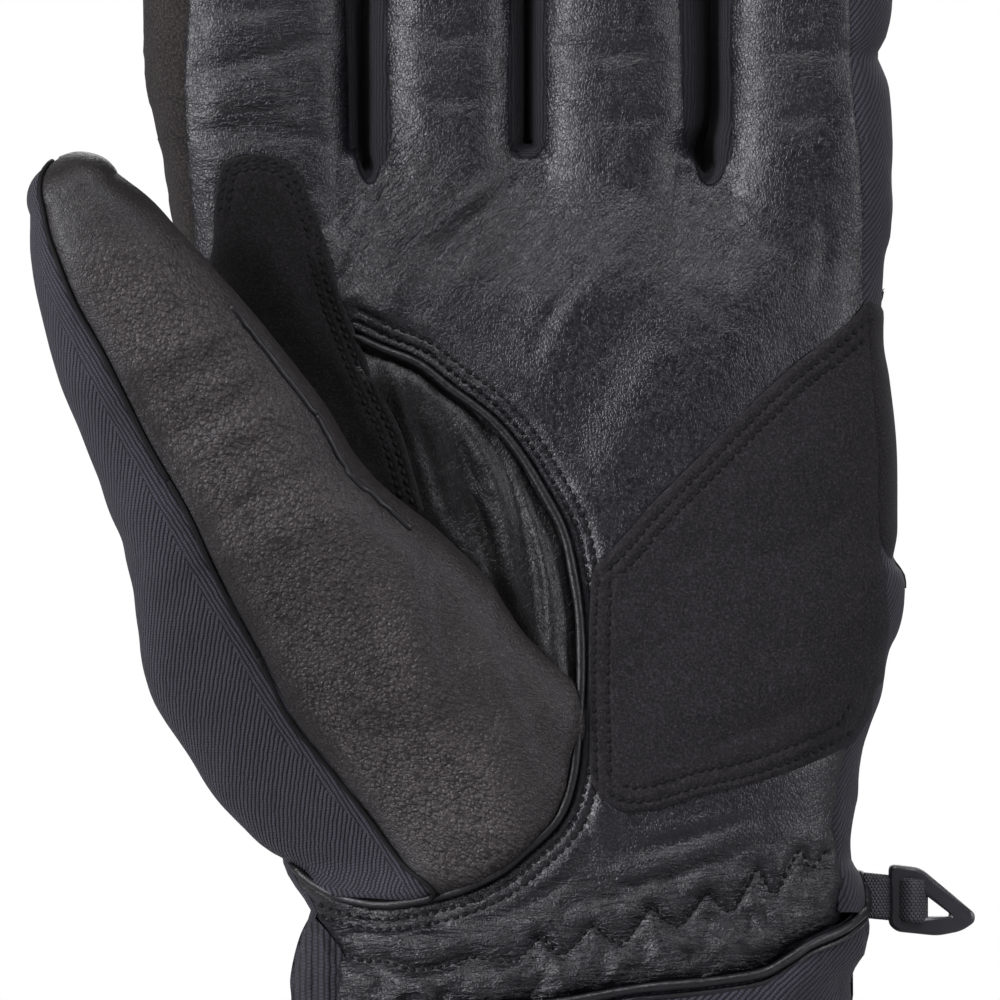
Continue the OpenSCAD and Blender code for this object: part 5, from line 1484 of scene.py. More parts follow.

# seam between leather and twill: a sunk dark stitch line, one unbroken near-black thread tube that stands for the
# stitches and, as painted shade, for the dark groove of the seam
for nm, r0, r1, bl, body in (("thumb_seam_upper", 1, rU, ("thumb_lower", "thumb_upper") + UPP, None), ("thumb_seam_lower", rU, rT, ("root", "thumb_lower") + LOW, None),
                             ("thumb_seam_root", rT, nr - 2, None, "root")):
    G = LG[r0:r1 + 1, 0]
    NG = NL.reshape(nr, NLEA, 3)[r0:r1 + 1, 3]
    put_tube(nm, G + NG * 0.15, 0.45, "thread", body=body, blend=bl, nside=8, up=NG, slot="leather")
ep, en = edge_col(0.055)
rJ = int(np.argmin(np.abs(st_rows - 8.0)))
k0 = int(next(r for r in range(nr) if R_[max(irow[r], 0)][1] < 180))
for nm, r0, r1, bl, body in (("thumb_edge_piping_upper", k0, rU, ("thumb_lower", "thumb_upper") + UPP, None), ("thumb_edge_piping_lower", rU, min(rJ, rT), ("root", "thumb_lower") + LOW, None)):
    q = ep[r0:r1 + 1]
    put_tube(nm, q + en[r0:r1 + 1] * 0.15, 0.5, "leather_piping", body=body, blend=bl, nside=8, up=en[r0:r1 + 1], slot="leather")

# ------------------------------------------------------------------ back of the hand and fingers

def back_outline():
    p = []
    zl = np.arange(62.6, 205, 1.3)
    right = np.c_[HR(zl) - 3.2, zl]
    p.append(right[zl > 66])
    for k in (3, 2, 1, 0):
        f = FINGERS[k]
        c, a = f.frame(f.zc)
        te = 1 - 2.6 / a
        zs = np.arange(206, f.zc, 1.3)
        top = np.vstack([np.c_[f.L(zs) + 2.6, zs], tip_arc(f, te, te, 26), np.c_[f.R(zs[::-1]) - 2.6, zs[::-1]]])
        p.append(top[::-1])
        if k:
            g = FINGERS[k - 1]
            xr, xl = float(f.L(205)) + 2.6, float(g.R(205)) - 2.6
            xm = (xr + xl) / 2
            p.append(spline([(xr, 204.5), (xr - 0.7, 202.2), (xm, 200.8), (xl + 0.7, 202.2), (xl, 204.5)], 0.9))
    p.append(np.c_[HL(zl[::-1]) + 3.2, zl[::-1]])
    return closed(*p)

BO = back_outline()
P, F, D = fill(BO, 1.25, (0.2, 0.6, 1.2), cuts=CUTS)
x, z = P.T
PAD_Z = (161.0, 196.0)
y = back(x, z) + 0.4 * fbm(P, (16, 20), 301, 3) + 0.25 * (ridged(P + noise(P, 12, 302)[:, None], (30, 9), 303) - 0.5) * (0.4 + sm((100 - z) / 25))
y = y + 0.35 * np.sin(z / 1.75) * np.exp(-((z - 96) / 11) ** 2)
y = y - roll(D, 0.8, 0.7) - 0.4 * np.exp(-D / 1.5)
for f in FINGERS:
    for dz in (-6, 0, 6):
        y = y + 0.35 * np.exp(-((z - f.mid - dz) / 1.5) ** 2) * (f.t(x, z) < 1)
        y = y - 0.35 * np.exp(-((z - f.mid - dz - 3) / 1.2) ** 2) * (f.t(x, z) < 1)
V = np.c_[x, y, z]
N = normals(V, F)
if N[:, 1].mean() < 0:
    F = F[:, ::-1]
Nw = normals(settle(V), F)
BACKF = Field(V)
c3 = V[F].mean(1)
v, f, n_ = sub(V, F, c3[:, 2] < 207, Nw)
put("back_fabric_skin", v, f, "twill_back", "root", "twill", ["back_fabric"], N=n_)
for k, fg in enumerate(FINGERS):
    lo = -100 if k == 0 else (FINGERS[k - 1].R(215) + fg.L(215)) / 2
    hi = 100 if k == 3 else (fg.R(215) + FINGERS[k + 1].L(215)) / 2
    mine = (c3[:, 0] > lo) & (c3[:, 0] < hi)
    v, f, n_ = sub(V, F, mine & (c3[:, 2] > 207) & (c3[:, 2] < 231), Nw)
    put(fg.name + "_back_lower_skin", v, f, "twill_back", slot="twill", reps=[fg.name + "_fabric_lower"], N=n_, blend=("root", fg.body[0], (0, 0, 207.0), (0, 0, 230.0)))
    v, f, n_ = sub(V, F, mine & (c3[:, 2] > 231), Nw)
    put(fg.name + "_back_upper_skin", v, f, "twill_back", slot="twill", reps=[fg.name + "_fabric_upper"], N=n_, blend=(fg.body[0], fg.body[1], (0, 0, max(231.5, fg.mid - 12)), (0, 0, fg.mid + 11)))

# knuckle pad
kp = closed(spline([(-55, 166), (-53, 190), (-48, 196)], 1.0), spline([(-48, 196), (0, 197.5), (36, 195.5)], 1.0), spline([(36, 195.5), (42, 188), (43, 168), (38, 161.5)], 1.0), spline([(38, 161.5), (0, 159.5), (-48, 161), (-55, 166)], 1.0))
P, F, D = fill(kp, 1.0, (0.2, 0.6, 1.1, 1.7))
x, z = P.T
hgt = 3.8 * (1 - np.exp(-D / 2.4))
for xc in (-34.5, -7.3, 23.0):
    hgt = hgt - 2.2 * np.exp(-((x - xc) / 1.3) ** 2) * sm(D / 2)
hgt = hgt - 0.9 * np.exp(-((z - 178.5) / 0.9) ** 2) * sm(D / 3) + 0.22 * fbm(P, 8, 311, 2)
V = np.c_[x, back(x, z) + 0.15 + hgt - roll(D, 0.9, 1.0), z]
if normals(V, F)[:, 1].mean() < 0:
    F = F[:, ::-1]
kpad = put("knuckle_pad_skin", V, F, "leather_welt", "root", "leather", ["knuckle_pad"], N=normals(settle(V), F))
KP = Field(V)
def stitch_back(c2, field, **k):
    v, f, p = stitch_row(c2, field, **k)
    return v, f, p
def beads_on(c2, field, out=1.0, pitch=1.62, size=(1.15, 0.5, 0.4), seed=5):
    c2 = resample(c2, pitch)
    y = field.at(c2)
    p = np.c_[c2[:, 0], y + out * 0.05, c2[:, 1]]
    e = 0.8
    gx = (field.at(c2 + [e, 0]) - field.at(c2 - [e, 0])) / (2 * e)
    gz = (field.at(c2 + [0, e]) - field.at(c2 - [0, e])) / (2 * e)
    up = np.c_[-gx, np.ones(len(c2)), -gz]
    return beads(p, np.gradient(p, axis=0), up, size, seed)
q = np.vstack([kp, kp[:1]])
inner = offset_line(q, -2.2 if area2(kp) < 0 else 2.2)
dd, _, _ = line_dist(inner, q, 5)
inner = inner[(dd > 1.9)]
v, f, p = beads_on(inner[2:-2], KP)
put("knuckle_pad_stitches", v, f, "thread_light", "root", pat=p)

# ------------------------------------------------------------------ cuff

def ring_xy(ang, z, off=0.0):
    """Point of the cuff's outline at that angle (0 the little-finger side, 90 the back, 270 the palm) and height."""
    L, R = HL(z), HR(z)
    c, a = (L + R) / 2, (R - L) / 2 + off
    s, cs = np.sin(ang), np.cos(ang)
    n = np.clip(mix(2.0, 2.6, sm(z / 60)), 2, 2.6)
    d = np.where(s < 0, FD(z), BD(z)) + off
    return c + a * np.sign(cs) * np.abs(cs) ** (2 / n), d * np.sign(s) * np.abs(s) ** (2 / n)

pz = table([(x, z) for x, z in PIPING[::-1]], smooth=False)
def seam_z(ang):
    """Height of the cuff's upper seam at that angle: the piping in front, level round the back."""
    x, y = ring_xy(ang, 66.0)
    fz = np.interp(x, PIPING[::-1][:, 0], PIPING[::-1][:, 1])
    s, c = np.sin(ang), np.cos(ang)
    bz = mix(62.4, 84.0, sm((c - 0.55) / 0.42))
    return np.where(s < 0, fz, np.where(c > 0, bz, 62.4))

NA, NZ = 420, 66
ang = np.linspace(0, 2 * math.pi, NA, endpoint=False)
sz = seam_z(ang)
sz = smooth_line(np.r_[sz[-8:], sz, sz[:8]][:, None], 9)[8:-8, 0]
G = np.zeros((NZ, NA, 3))
for r in range(NZ):
    v_ = r / (NZ - 1)
    z = mix(3.0, sz + 0.9, v_)
    x, y = ring_xy(ang, z)
    G[r] = np.stack([x, y, z], -1)
Vc = G.reshape(-1, 3)
Fc = grid_faces(NZ, NA, True)
N = normals(Vc, Fc)
if (N * (Vc - [0, 0, 30]) * [1, 1, 0]).sum() < 0:
    Fc = Fc[:, ::-1]; N = -N
a_ = np.tile(ang, NZ)
zz = Vc[:, 2]
top = np.repeat(np.linspace(0, 1, NZ), NA)
below = (np.tile(sz, NZ) - zz)
d = 0.9 * fbm(np.c_[Vc[:, 0], Vc[:, 1], Vc[:, 2] * 0.8], (16, 16, 20), 401, 3) * sm(zz / 14) * sm((below + 1) / 6)
d += 0.5 * (ridged(np.c_[a_ * 50 + 3 * noise(Vc, 15, 402), zz], (9, 34), 403) - 0.5) * sm(zz / 14) * sm(below / 6)
d += 1.2 * np.exp(-((below - 6) / 4.0) ** 2) * sm((Vc[:, 0] - 20) / 20) * (Vc[:, 1] < 6) - 1.1 * np.exp(-(below / 1.3) ** 2)
left = sm((-Vc[:, 0] - 30) / 8) * (Vc[:, 1] < 12)
d += left * (0.8 * np.sin(a_ * 38) * np.exp(-((zz - 64) / 14) ** 2))
Vc = Vc + N * d[:, None]
circ = np.r_[0, np.cumsum(np.linalg.norm(np.diff(G[NZ // 2], axis=0), axis=1))]
patc = np.c_[np.tile(circ, NZ), np.zeros(len(Vc)), zz]
put("cuff_fabric_skin", Vc, Fc, "twill_cuff", "root", "twill", ["cuff_fabric"], pat=patc, N=normals(settle(Vc), Fc))

# pleated cuff fabric that rises behind the heel of the thumb
pl = closed(spline([(-47, 58.3), (-46.5, 63.3), (-46.7, 66.7), (-46, 70.8), (-45, 74.2), (-44, 76.3), (-43.2, 77.7)], 0.9), spline([(-43.2, 77.7), (-41.3, 75.7), (-39.3, 73.2), (-37.5, 70), (-37.3, 63.3), (-37.3, 58.3)], 0.9))
P, F, D = fill(pl, 0.7)
x, z = P.T
d, s, l = line_dist(P, spline([(-42, 79.2), (-42.7, 73.3), (-42.7, 66.7), (-42.3, 57.5)], 0.9), 8)
t = np.clip((x - HL(z)) / 7.5, 0.0, 1)
y = front(np.maximum(x, HL(z) + 0.02), z) - 2.6 * np.sin(np.pi * np.clip(t * 0.8 + 0.1, 0, 1)) * sm((D + 0.2) / 2.5) + 1.1 * np.exp(-(d / 0.6) ** 2) - 0.5 * np.sin(x * 2.1 + 0.8 * noise(P, 7, 411)) * sm(D / 1.5) * 0.6
V = np.c_[x, y, z]
if normals(V, F)[:, 1].mean() > 0:
    F = F[:, ::-1]
put("cuff_pleat", V, F, "twill_pleat", "root", "twill", N=normals(settle(V), F))

# piping over the seam
pa = np.radians(np.linspace(178, 378, 300))
px, py = ring_xy(pa, 66.0)
pp = []
for a in pa:
    z = float(np.interp(a % (2 * math.pi), np.r_[ang, 2 * math.pi], np.r_[sz, sz[:1]]))
    x, y = ring_xy(a, z, 0.35)
    pp.append((float(x), float(y), z))
pp = smooth_line(np.array(pp), 5)
pp = resample(pp, 0.7)
cen = np.array([0, 0, 0])
up = pp * [1, 1, 0] - [float((HL(66) + HR(66)) / 2), 0, 0]
rr = 0.85 * (1 + 0.10 * noise(pp, 4.0, 5) + 0.05 * noise(pp, 1.6, 6))
put_tube("cuff_piping_roll", pp, rr, "leather_piping", body="root", slot="leather", reps=["cuff_piping"], nside=12, flat=1.0, up=up)
put_tube("cuff_piping_cord", np.c_[pp[:, 0] * 0.992, pp[:, 1] * 0.985, pp[:, 2] - 1.75], 0.55 * (1 + 0.1 * noise(pp, 3.0, 8)), "leather_piping", body="root", nside=8, up=up)

# hem binding and lining
ht = np.linspace(0, 2 * math.pi, 361)[:-1]
prof = [(-1.2, 1.0), (-1.2, 4.8), (-0.3, 6.1), (0.55, 6.0), (0.95, 4.9), (1.0, 2.6), (0.95, 0.8), (0.5, 0.12), (0.1, 0.0), (-0.7, 0.0), (-1.1, 0.3)]
G = []
for off, z in prof:
    x, y = ring_xy(ht, np.full(360, z), off)
    G.append(np.stack([x, y, np.full(360, z)], -1))
G = np.array(G)
V = G.reshape(-1, 3)
F = grid_faces(len(prof), 360, True)
F = np.vstack([F, [[(len(prof) - 1) * 360 + j, (len(prof) - 1) * 360 + (j + 1) % 360, (j + 1) % 360, j] for j in range(360)]])
N = normals(V, F)
circ = np.r_[0, np.cumsum(np.linalg.norm(np.diff(G[5], axis=0), axis=1))]
sidex = np.r_[0, np.cumsum(np.linalg.norm(np.diff(G[:, 0], axis=0), axis=1))]
outw = (N * (V - [0, 0, 3]))[:, :2].sum()
if (N[5 * 360:6 * 360] * (V[5 * 360:6 * 360] * [1, 1, 0])).sum() < 0:
    F = F[:, ::-1]; N = -N
bmp = 0.16 * fbm(V, 2.2, 421, 2) * (V[:, 2] > 0.6)
V = V + N * bmp[:, None]
put("hem_binding_skin", V, F, "binding", "root", "binding", ["hem_binding"], pat=np.c_[np.repeat(sidex, 360), np.zeros(len(V)), np.tile(circ, len(prof))])
hx, hy = ring_xy(ht, np.full(360, 4.9), 1.02)
hp_ = np.stack([hx, hy, np.full(360, 4.9)], -1)
hp_ = resample(np.vstack([hp_, hp_[:1]]), 1.8)
v, f, p = beads(hp_, np.gradient(hp_, axis=0), hp_ * [1, 1, 0], (1.25, 0.5, 0.4), 6)
put("hem_stitches", v, f, "thread_light", "root", pat=p)

def inner_tube(name, zs, off, mat, slot, reps, n=120, bumpy=0.25, cap=True):
    a = np.linspace(0, 2 * math.pi, n, endpoint=False)
    G = []
    for z in zs:
        x, y = ring_xy(a, np.full(n, z), -off)
        G.append(np.stack([x, y, np.full(n, z)], -1))
    if cap:
        G.append(G[-1] * [0.5, 0.5, 1] + [0, 0, 3])
        G.append(G[-2] * [0.02, 0.02, 1] + [0, 0, 4])
    G = np.array(G)
    V = G.reshape(-1, 3)
    F = grid_faces(len(G), n, True)
    N = normals(V, F)
    V = V + N * (bumpy * fbm(V, 6, 431, 2))[:, None]
    return put(name, V, F, mat, "root", slot, reps)
inner_tube("cuff_lining", [1.5, 4, 8, 14, 22, 30, 40, 52, 64, 78, 92, 108, 124, 140, 156, 170, 182, 188], 2.6, "lining", "lining", ["hand_lining"])
inner_tube("palm_wadding", [100, 112, 124, 136, 148, 160, 172, 184], 2.0, "wadding", "insulation", ["hand_insulation"], cap=False)
# elastic band inside the wrist, behind its stitches
ea = np.radians(np.linspace(200, 340, 120))
G = []
for dz in (5, 8, 11, 14, 17, 20):
    z = np.interp(ea, ang, sz) + dz
    x, y = ring_xy(ea, z, -1.6)
    G.append(np.stack([x, y, z], -1))
G = np.array(G)
grid_piece("wrist_elastic_band", G, "elastic", arc_pat(G), "root", slot="elastic", reps=["wrist_elastic"])

def liner(name, c_list, ax, mat, rep, bl=None, body=None):
    G = np.array(c_list)
    V = G.reshape(-1, 3)
    F = grid_faces(G.shape[0], G.shape[1], True)
    return put(name, V, F, mat, body, "insulation", rep, blend=bl)

aa = np.linspace(0, 2 * math.pi, 40, endpoint=False)
for fg in FINGERS:
    for part, zs in (("lower", np.linspace(196, 231, 12)), ("upper", np.r_[np.linspace(231, fg.zc, 12), fg.zc + np.array([4, 7, 9, 10, 10.4])])):
        ring = []
        for z in zs:
            c, a = fg.frame(min(z, fg.zc))
            sc = 1.0 if z <= fg.zc else math.sqrt(max(0.0004, 1 - ((z - fg.zc) / 10.45) ** 2))
            aw, dw = (a - 3.0) * sc, 9.6 * sc
            ring.append(np.stack([c + aw * np.sign(np.cos(aa)) * np.abs(np.cos(aa)) ** 0.85, dw * np.sign(np.sin(aa)) * np.abs(np.sin(aa)) ** 0.85, np.full(40, z)], -1))
        bl = ("root", fg.body[0], (0, 0, 207.0), (0, 0, 230.0)) if part == "lower" else (fg.body[0], fg.body[1], (0, 0, max(231.5, fg.mid - 12)), (0, 0, fg.mid + 11))
        liner("%s_liner_%s_skin" % (fg.name, part), ring, 0, "lining", ["%s_liner_%s" % (fg.name, part)], bl)
ring = []
for i in [-NCAP + 5] + list(range(-NCAP + 8, NROW - 14, 3)):
    k = max(i, 0)
    full = thumb_row(i, np.linspace(0, 2 * math.pi, 40, endpoint=False))
    cc = np.array([(L_[k] + R_[k])[0] / 2, (yL_[k] + yR_[k]) / 2, (L_[k] + R_[k])[1] / 2])
    ring.append((i, cc + (full - cc) * 0.74))
cuts = (lambda i: i <= rows[rU], lambda i: (i >= rows[rU] - 3) & (i <= rows[rT]), lambda i: i >= rows[rT] - 3)
for nm, fn, rep, bl, body in (("thumb_liner_upper_skin", cuts[0], "thumb_liner_upper", ("thumb_lower", "thumb_upper") + UPP, None),
                              ("thumb_liner_lower_skin", cuts[1], "thumb_liner_lower", ("root", "thumb_lower") + LOW, None),
                              ("thenar_liner_skin", cuts[2], "thenar_liner", None, "root")):
    liner(nm, [g for i, g in ring if fn(i)], 0, "lining", [rep], bl, body)

# ------------------------------------------------------------------ wrist strap at the back

def band(name, z0, z1, a0, a1, o_in, o_out, mat, body, slot, reps, n=150, bow=0.0, alongpat=True, bumpf=None, round_end=0.0, sewn=0.0):
    a = np.radians(np.linspace(a0, a1, n))
    low = sewn * sm((np.degrees(a) - 134) / 10)
    prof = [(z0 + 0.3, o_in), (z0, o_in + 0.25), (z0, o_out - 0.35), (z0 + 0.3, o_out - 0.08), (z0 + 0.9, o_out)]
    m = 12
    prof += [(mix(z0 + 1.6, z1 - 1.6, i / m), o_out) for i in range(m + 1)]
    prof += [(z1 - 0.9, o_out), (z1 - 0.3, o_out - 0.08), (z1, o_out - 0.35), (z1, o_in + 0.25), (z1 - 0.3, o_in)]
    zm = (z0 + z1) / 2
    G = []
    for z, o in prof:
        zz_ = zm + (z - zm) * (1 - round_end * (1 - np.sqrt(np.clip(1 - (1 - np.clip((np.arange(n)) / (n * 0.08), 0, 1)) ** 2, 0, 1))))
        x, y = ring_xy(a, np.full(n, 70.0), o - low)
        G.append(np.stack([x, y, zz_], -1))
    G = np.array(G)
    V = G.reshape(-1, 3)
    F = grid_faces(len(prof), n)
    ends = []
    k = len(V)
    for j in (0, n - 1):
        ends.append(G[:, j].mean(0))
    V = np.vstack([V] + [e[None] for e in ends])
    tri = []
    for j, kk in ((0, k), (n - 1, k + 1)):
        for r in range(len(prof)):
            r2 = (r + 1) % len(prof)
            q = (kk, r * n + j, r2 * n + j)
            tri.append(q if j else q[::-1])
    close = [[(len(prof) - 1) * n + j, (len(prof) - 1) * n + j + 1, j + 1, j] for j in range(n - 1)]
    Fq = np.vstack([F, close])
    F3 = np.vstack([Fq[:, [0, 1, 2]], Fq[:, [0, 2, 3]], tri])
    N = normals(V, F3)
    if (N[:k] * (V[:k] * [1, 1, 0])).reshape(len(prof), n, 3)[8].sum() < 0:
        F3 = F3[:, ::-1]; N = -N
    s = np.r_[0, np.cumsum(np.linalg.norm(np.diff(G[8], axis=0), axis=1))]
    pat = np.vstack([np.stack([G[..., 2], np.zeros(G.shape[:2]), np.tile(s, (len(prof), 1))], -1).reshape(-1, 3), [[70, 0, 0], [70, 0, s[-1]]]])
    if bumpf is not None:
        V = V + N * bumpf(V)[:, None]
    return put(name, V, F3, mat, body, slot, reps, pat=pat), G

strap, SG = band("wrist_strap_band", 58.0, 82.0, 28, 146, 2.7, 4.6, "leather", "strap", "leather", ["wrist_strap"], bumpf=lambda V: 0.18 * fbm(V, 9, 441, 2), round_end=0.35, sewn=2.3)
band("strap_hook_patch", 62.0, 78.0, 38, 70, 1.75, 2.65, "hooks", "strap", "hook_plastic", ["strap_hook_pad"])
band("strap_loop_patch", 60.0, 80.0, 36, 100, 0.25, 1.4, "loop", "root", "loop_pile", ["strap_loop_pad"], bumpf=lambda V: 0.15 * fbm(V, 3, 442, 2))
for nm, zq in (("a", 59.9), ("b", 80.1)):
    a = np.radians(np.linspace(32, 143, 400))
    x, y = ring_xy(a, np.full(400, 70.0), 4.62 - 2.3 * sm((np.degrees(a) - 134) / 10))
    q = resample(np.stack([x, y, np.full(400, zq)], -1), 1.7)
    v, f, p = beads(q, np.gradient(q, axis=0), q * [1, 1, 0], (1.2, 0.5, 0.4), 9)
    put("strap_stitches_" + nm, v, f, "thread_light", "strap", pat=p)

# ------------------------------------------------------------------ webbing and clip

wl = 7.4
path = [(49.0, 0.75), (51.4, 0.85), (53.4, 1.3)]
arc = [(57 + 2.05 * math.cos(t), 2 + 2.05 * math.sin(t)) for t in np.radians(np.linspace(-150, 150, 25))]
back_ = [(53.4, 2.7), (51.4, 3.15), (49.0, 3.25)]
c2 = resample(np.array(path + arc + back_), 0.35)
t = np.gradient(c2, axis=0); t /= np.linalg.norm(t, axis=1, keepdims=True)
nn = np.c_[t[:, 1], -t[:, 0]]
zlo, zhi = 76.9, 84.4
zprof = [(zlo, -0.35), (zlo, 0.3), (zlo + 0.35, 0.55)] + [(mix(zlo + 0.7, zhi - 0.7, i / 10), 0.6) for i in range(11)] + [(zhi - 0.35, 0.55), (zhi, 0.3), (zhi, -0.35), (zhi - 0.3, -0.55)] + [(mix(zhi - 0.6, zlo + 0.6, i / 6), -0.6) for i in range(7)] + [(zlo + 0.3, -0.55)]
sc = np.r_[0, np.cumsum(np.linalg.norm(np.diff(c2, axis=0), axis=1))]
G = []
for z, o in zprof:
    rib = 0.12 * np.abs(np.sin(sc * math.pi / 0.62)) * (1 if o > 0.5 else 0)
    taper = 0
    G.append(np.stack([c2[:, 0] + nn[:, 0] * (o + rib), c2[:, 1] + nn[:, 1] * (o + rib), np.full(len(c2), z) - 0.10 * (c2[:, 0] - 50)], -1))
G = np.array(G)
V = G.reshape(-1, 3)
m_, n_c = G.shape[:2]
F = grid_faces(m_, n_c)
F = np.vstack([F, [[(m_ - 1) * n_c + j, (m_ - 1) * n_c + j + 1, j + 1, j] for j in range(n_c - 1)]])
N = normals(V, F)
cmid = np.array([57, 2, 80.6])
if (N * (V - [53, 2, 80.6])).sum() < 0:
    F = F[:, ::-1]
pat = np.stack([G[..., 2], np.zeros(G.shape[:2]), np.tile(sc, (m_, 1))], -1).reshape(-1, 3)
put("webbing_loop_skin", V, F, "webbing", "web", "webbing", ["webbing_loop"], pat=pat)

def smooth_closed(pts, r, n):
    """Closed outline with rounded corners, resampled by arc length from its start."""
    p = np.array(pts, float)
    out = []
    for i in range(len(p)):
        a, b, c = p[i - 1], p[i], p[(i + 1) % len(p)]
        u, v = (a - b) / np.linalg.norm(a - b), (c - b) / np.linalg.norm(c - b)
        k = min(r, 0.45 * np.linalg.norm(a - b), 0.45 * np.linalg.norm(c - b))
        for t in np.linspace(0, 1, 9):
            out.append((1 - t) ** 2 * (b + u * k) + 2 * t * (1 - t) * b + t * t * (b + v * k))
    out = np.array(out + [out[0]])
    return resample(out, np.linalg.norm(np.diff(out, axis=0), axis=1).sum() / n)[:n]

CO = [(53.2, 86), (58.5, 85.3), (67.5, 77.8), (67.5, 76.3), (65.3, 74.8), (61.3, 74), (54.5, 74.7), (53.2, 75.8)]
CI = [(55.8, 82.7), (57.7, 82), (63.3, 77.7), (63.2, 77.2), (56.7, 77.2), (55.8, 78)]
M = 220
o_ = smooth_closed(CO, 1.3, M)
i_ = smooth_closed(CI, 0.7, M)
def by_angle(o_):
    c = np.mean(np.array(CI), axis=0)
    a = np.arctan2(o_[:, 1] - c[1], o_[:, 0] - c[0])
    k = np.argsort(a)
    q = np.linspace(-math.pi, math.pi, M, endpoint=False)
    a2 = np.r_[a[k] - 2 * math.pi, a[k], a[k] + 2 * math.pi]
    o2 = np.vstack([o_[k]] * 3)
    return np.stack([np.interp(q, a2, o2[:, 0]), np.interp(q, a2, o2[:, 1])], 1)
o_, i_ = by_angle(o_), by_angle(i_)
wdt = np.linalg.norm(o_ - i_, axis=1, keepdims=True)
dirv = (i_ - o_) / wdt
bev = np.minimum(0.62, wdt * 0.3)
yh = 1.75
secs = [(o_, yh - 0.62), (o_ + dirv * 0.16, yh - 0.30), (o_ + dirv * bev, yh), (i_ - dirv * bev, yh), (i_ - dirv * 0.16, yh - 0.30), (i_, yh - 0.62),
        (i_, -(yh - 0.62)), (i_ - dirv * 0.16, -(yh - 0.30)), (i_ - dirv * bev, -yh), (o_ + dirv * bev, -yh), (o_ + dirv * 0.16, -(yh - 0.30)), (o_, -(yh - 0.62))]
G = np.array([np.stack([q[:, 0], 2.0 + np.full(M, yy_), q[:, 1]], -1) for q, yy_ in secs])
V = G.reshape(-1, 3)
F = grid_faces(len(secs), M, True)
F = np.vstack([F, [[(len(secs) - 1) * M + j, (len(secs) - 1) * M + (j + 1) % M, (j + 1) % M, j] for j in range(M)]])
co = bpy.data.meshes.new("tmp")
N = normals(V, F)
cen = (o_.mean(0))
ok = (N[2 * M:3 * M, 1]).mean()
if ok < 0:
    F = F[:, ::-1]
clip = put("clip_body", V, F, "clip_plastic", "clip", "clip_plastic", ["clip"])
clip.data.polygons.foreach_set("use_smooth", np.zeros(len(clip.data.polygons), bool))
bpy.data.meshes.remove(co)

# ------------------------------------------------------------------ camera, light and floor

bpy.ops.mesh.primitive_plane_add(size=1)
floor = bpy.context.object
floor.name = "floor"
floor.scale = (6.0, 6.0, 1)
floor.location = (0, 0.0, -0.0005)
fm = bpy.data.materials.new("floor_white")
fm.use_nodes = True
ft = fm.node_tree
fb = ft.nodes["Principled BSDF"]
fb.inputs["Base Color"].default_value = (0.42, 0.42, 0.43, 1)
fb.inputs["Roughness"].default_value = 0.7
# the floor fades to plain white away from the glove
ge = ft.nodes.new("ShaderNodeNewGeometry")
ln = ft.nodes.new("ShaderNodeVectorMath"); ln.operation = "LENGTH"
fr_ = ft.nodes.new("ShaderNodeMapRange"); fr_.interpolation_type = "SMOOTHSTEP"
fr_.inputs[1].default_value, fr_.inputs[2].default_value = 0.10, 0.42
fl_ = ft.nodes.new("ShaderNodeLightPath")
fmu = ft.nodes.new("ShaderNodeMath"); fmu.operation = "MULTIPLY"
fe_ = ft.nodes.new("ShaderNodeEmission"); fe_.inputs[0].default_value = (1, 1, 1, 1)
fx_ = ft.nodes.new("ShaderNodeMixShader")
ft.links.new(ge.outputs["Position"], ln.inputs[0])
ft.links.new(ln.outputs["Value"], fr_.inputs[0])
ft.links.new(fr_.outputs[0], fmu.inputs[0])
ft.links.new(fl_.outputs["Is Camera Ray"], fmu.inputs[1])
ft.links.new(fmu.outputs[0], fx_.inputs[0])
ft.links.new(fb.outputs[0], fx_.inputs[1])
ft.links.new(fe_.outputs[0], fx_.inputs[2])
ft.links.new(fx_.outputs[0], ft.nodes["Material Output"].inputs[0])
floor.data.materials.append(fm)

cam = bpy.data.cameras.new("camera")
cam.sensor_width = 36
cam.lens = 36 * DIST / (1000 / 6)
cam.clip_start, cam.clip_end = 0.05, 20
co_ = bpy.data.objects.new("camera", cam)
bpy.context.scene.collection.objects.link(co_)
co_.location = (CX * 0.001, (YREF - DIST) * 0.001, CZ * 0.001)
co_.rotation_euler = (math.pi / 2, 0, 0)
bpy.context.scene.camera = co_

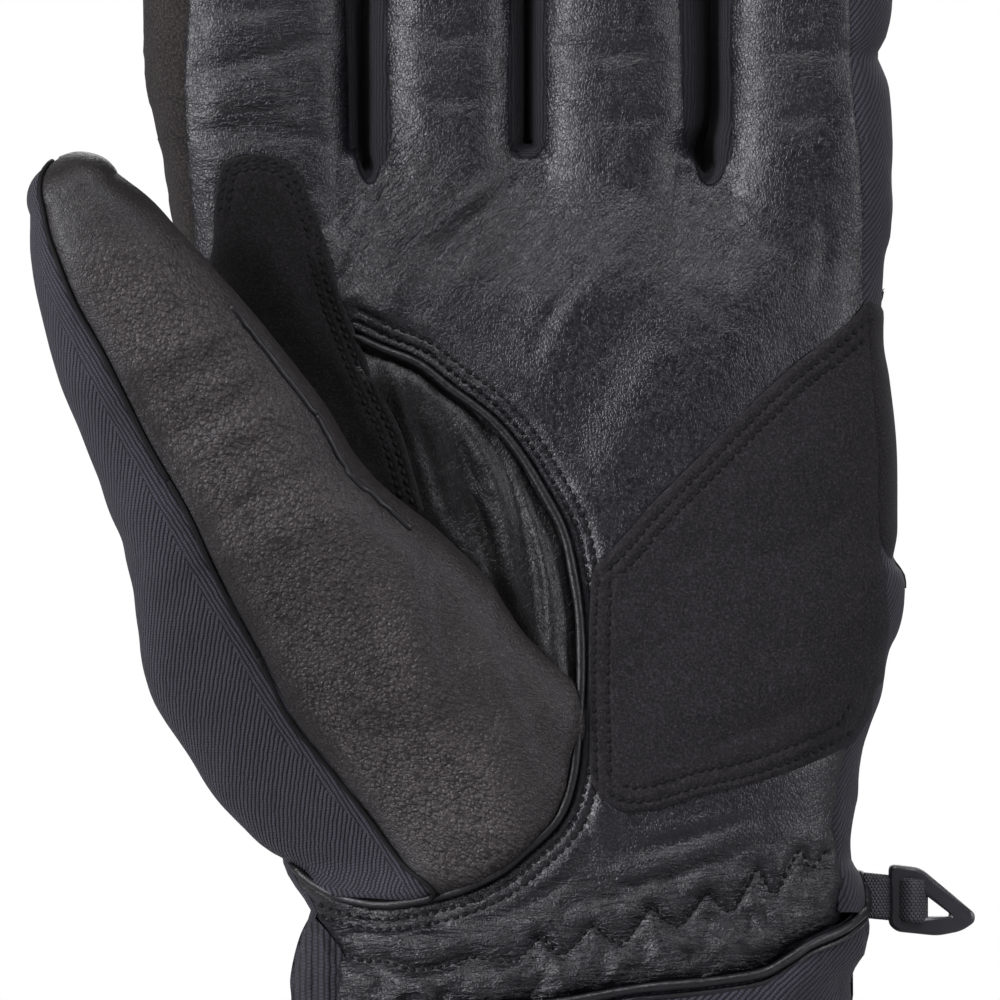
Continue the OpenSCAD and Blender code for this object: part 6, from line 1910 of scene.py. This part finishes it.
w = bpy.data.worlds.new("studio")
bpy.context.scene.world = w
w.use_nodes = True
nt = w.node_tree
nt.nodes.clear()
out = nt.nodes.new("ShaderNodeOutputWorld")
mixs = nt.nodes.new("ShaderNodeMixShader")
lp = nt.nodes.new("ShaderNodeLightPath")
b1 = nt.nodes.new("ShaderNodeBackground"); b1.inputs[1].default_value = 0.16
b2 = nt.nodes.new("ShaderNodeBackground"); b2.inputs[0].default_value = (1, 1, 1, 1); b2.inputs[1].default_value = 1.0
tc = nt.nodes.new("ShaderNodeTexCoord")
sp = nt.nodes.new("ShaderNodeSeparateXYZ")
mr = nt.nodes.new("ShaderNodeMapRange")
mr.inputs[1].default_value, mr.inputs[2].default_value, mr.inputs[3].default_value, mr.inputs[4].default_value = -0.7, 0.8, 0.25, 1.6
nt.links.new(tc.outputs["Generated"], sp.inputs[0])
nt.links.new(sp.outputs[1], mr.inputs[0])
nt.links.new(mr.outputs[0], b1.inputs[0])
nt.links.new(lp.outputs["Is Camera Ray"], mixs.inputs[0])
nt.links.new(b1.outputs[0], mixs.inputs[1])
nt.links.new(b2.outputs[0], mixs.inputs[2])
nt.links.new(mixs.outputs[0], out.inputs[0])

def area(name, loc, target, size, power, color=(1, 1, 1)):
    l = bpy.data.lights.new(name, "AREA")
    l.shape = "RECTANGLE"
    l.size, l.size_y = size
    l.energy = power
    l.color = color
    o = bpy.data.objects.new(name, l)
    bpy.context.scene.collection.objects.link(o)
    o.location = loc
    o.rotation_euler = (Vector(target) - Vector(loc)).to_track_quat("-Z", "Y").to_euler()
    return o

area("key_left", (-1.00, -0.72, 0.40), (0, 0, 0.11), (0.42, 0.70), 22.0, (0.96, 0.96, 1.0))
area("key_right", (1.10, -0.40, 0.42), (0, 0, 0.16), (0.30, 0.80), 7.5, (0.95, 0.95, 1.0))
area("top_front", (0.05, -0.60, 1.10), (0, 0, 0.15), (0.7, 0.3), 8.5, (0.96, 0.96, 1.0))
area("back_fill", (0.2, 1.2, 0.7), (0, 0, 0.15), (1.0, 0.8), 9.0)

sc_ = bpy.context.scene
sc_.view_settings.view_transform = "Standard"
sc_.view_settings.look = "None"
sc_.view_settings.exposure = 0.0
sc_.view_settings.gamma = 1.0
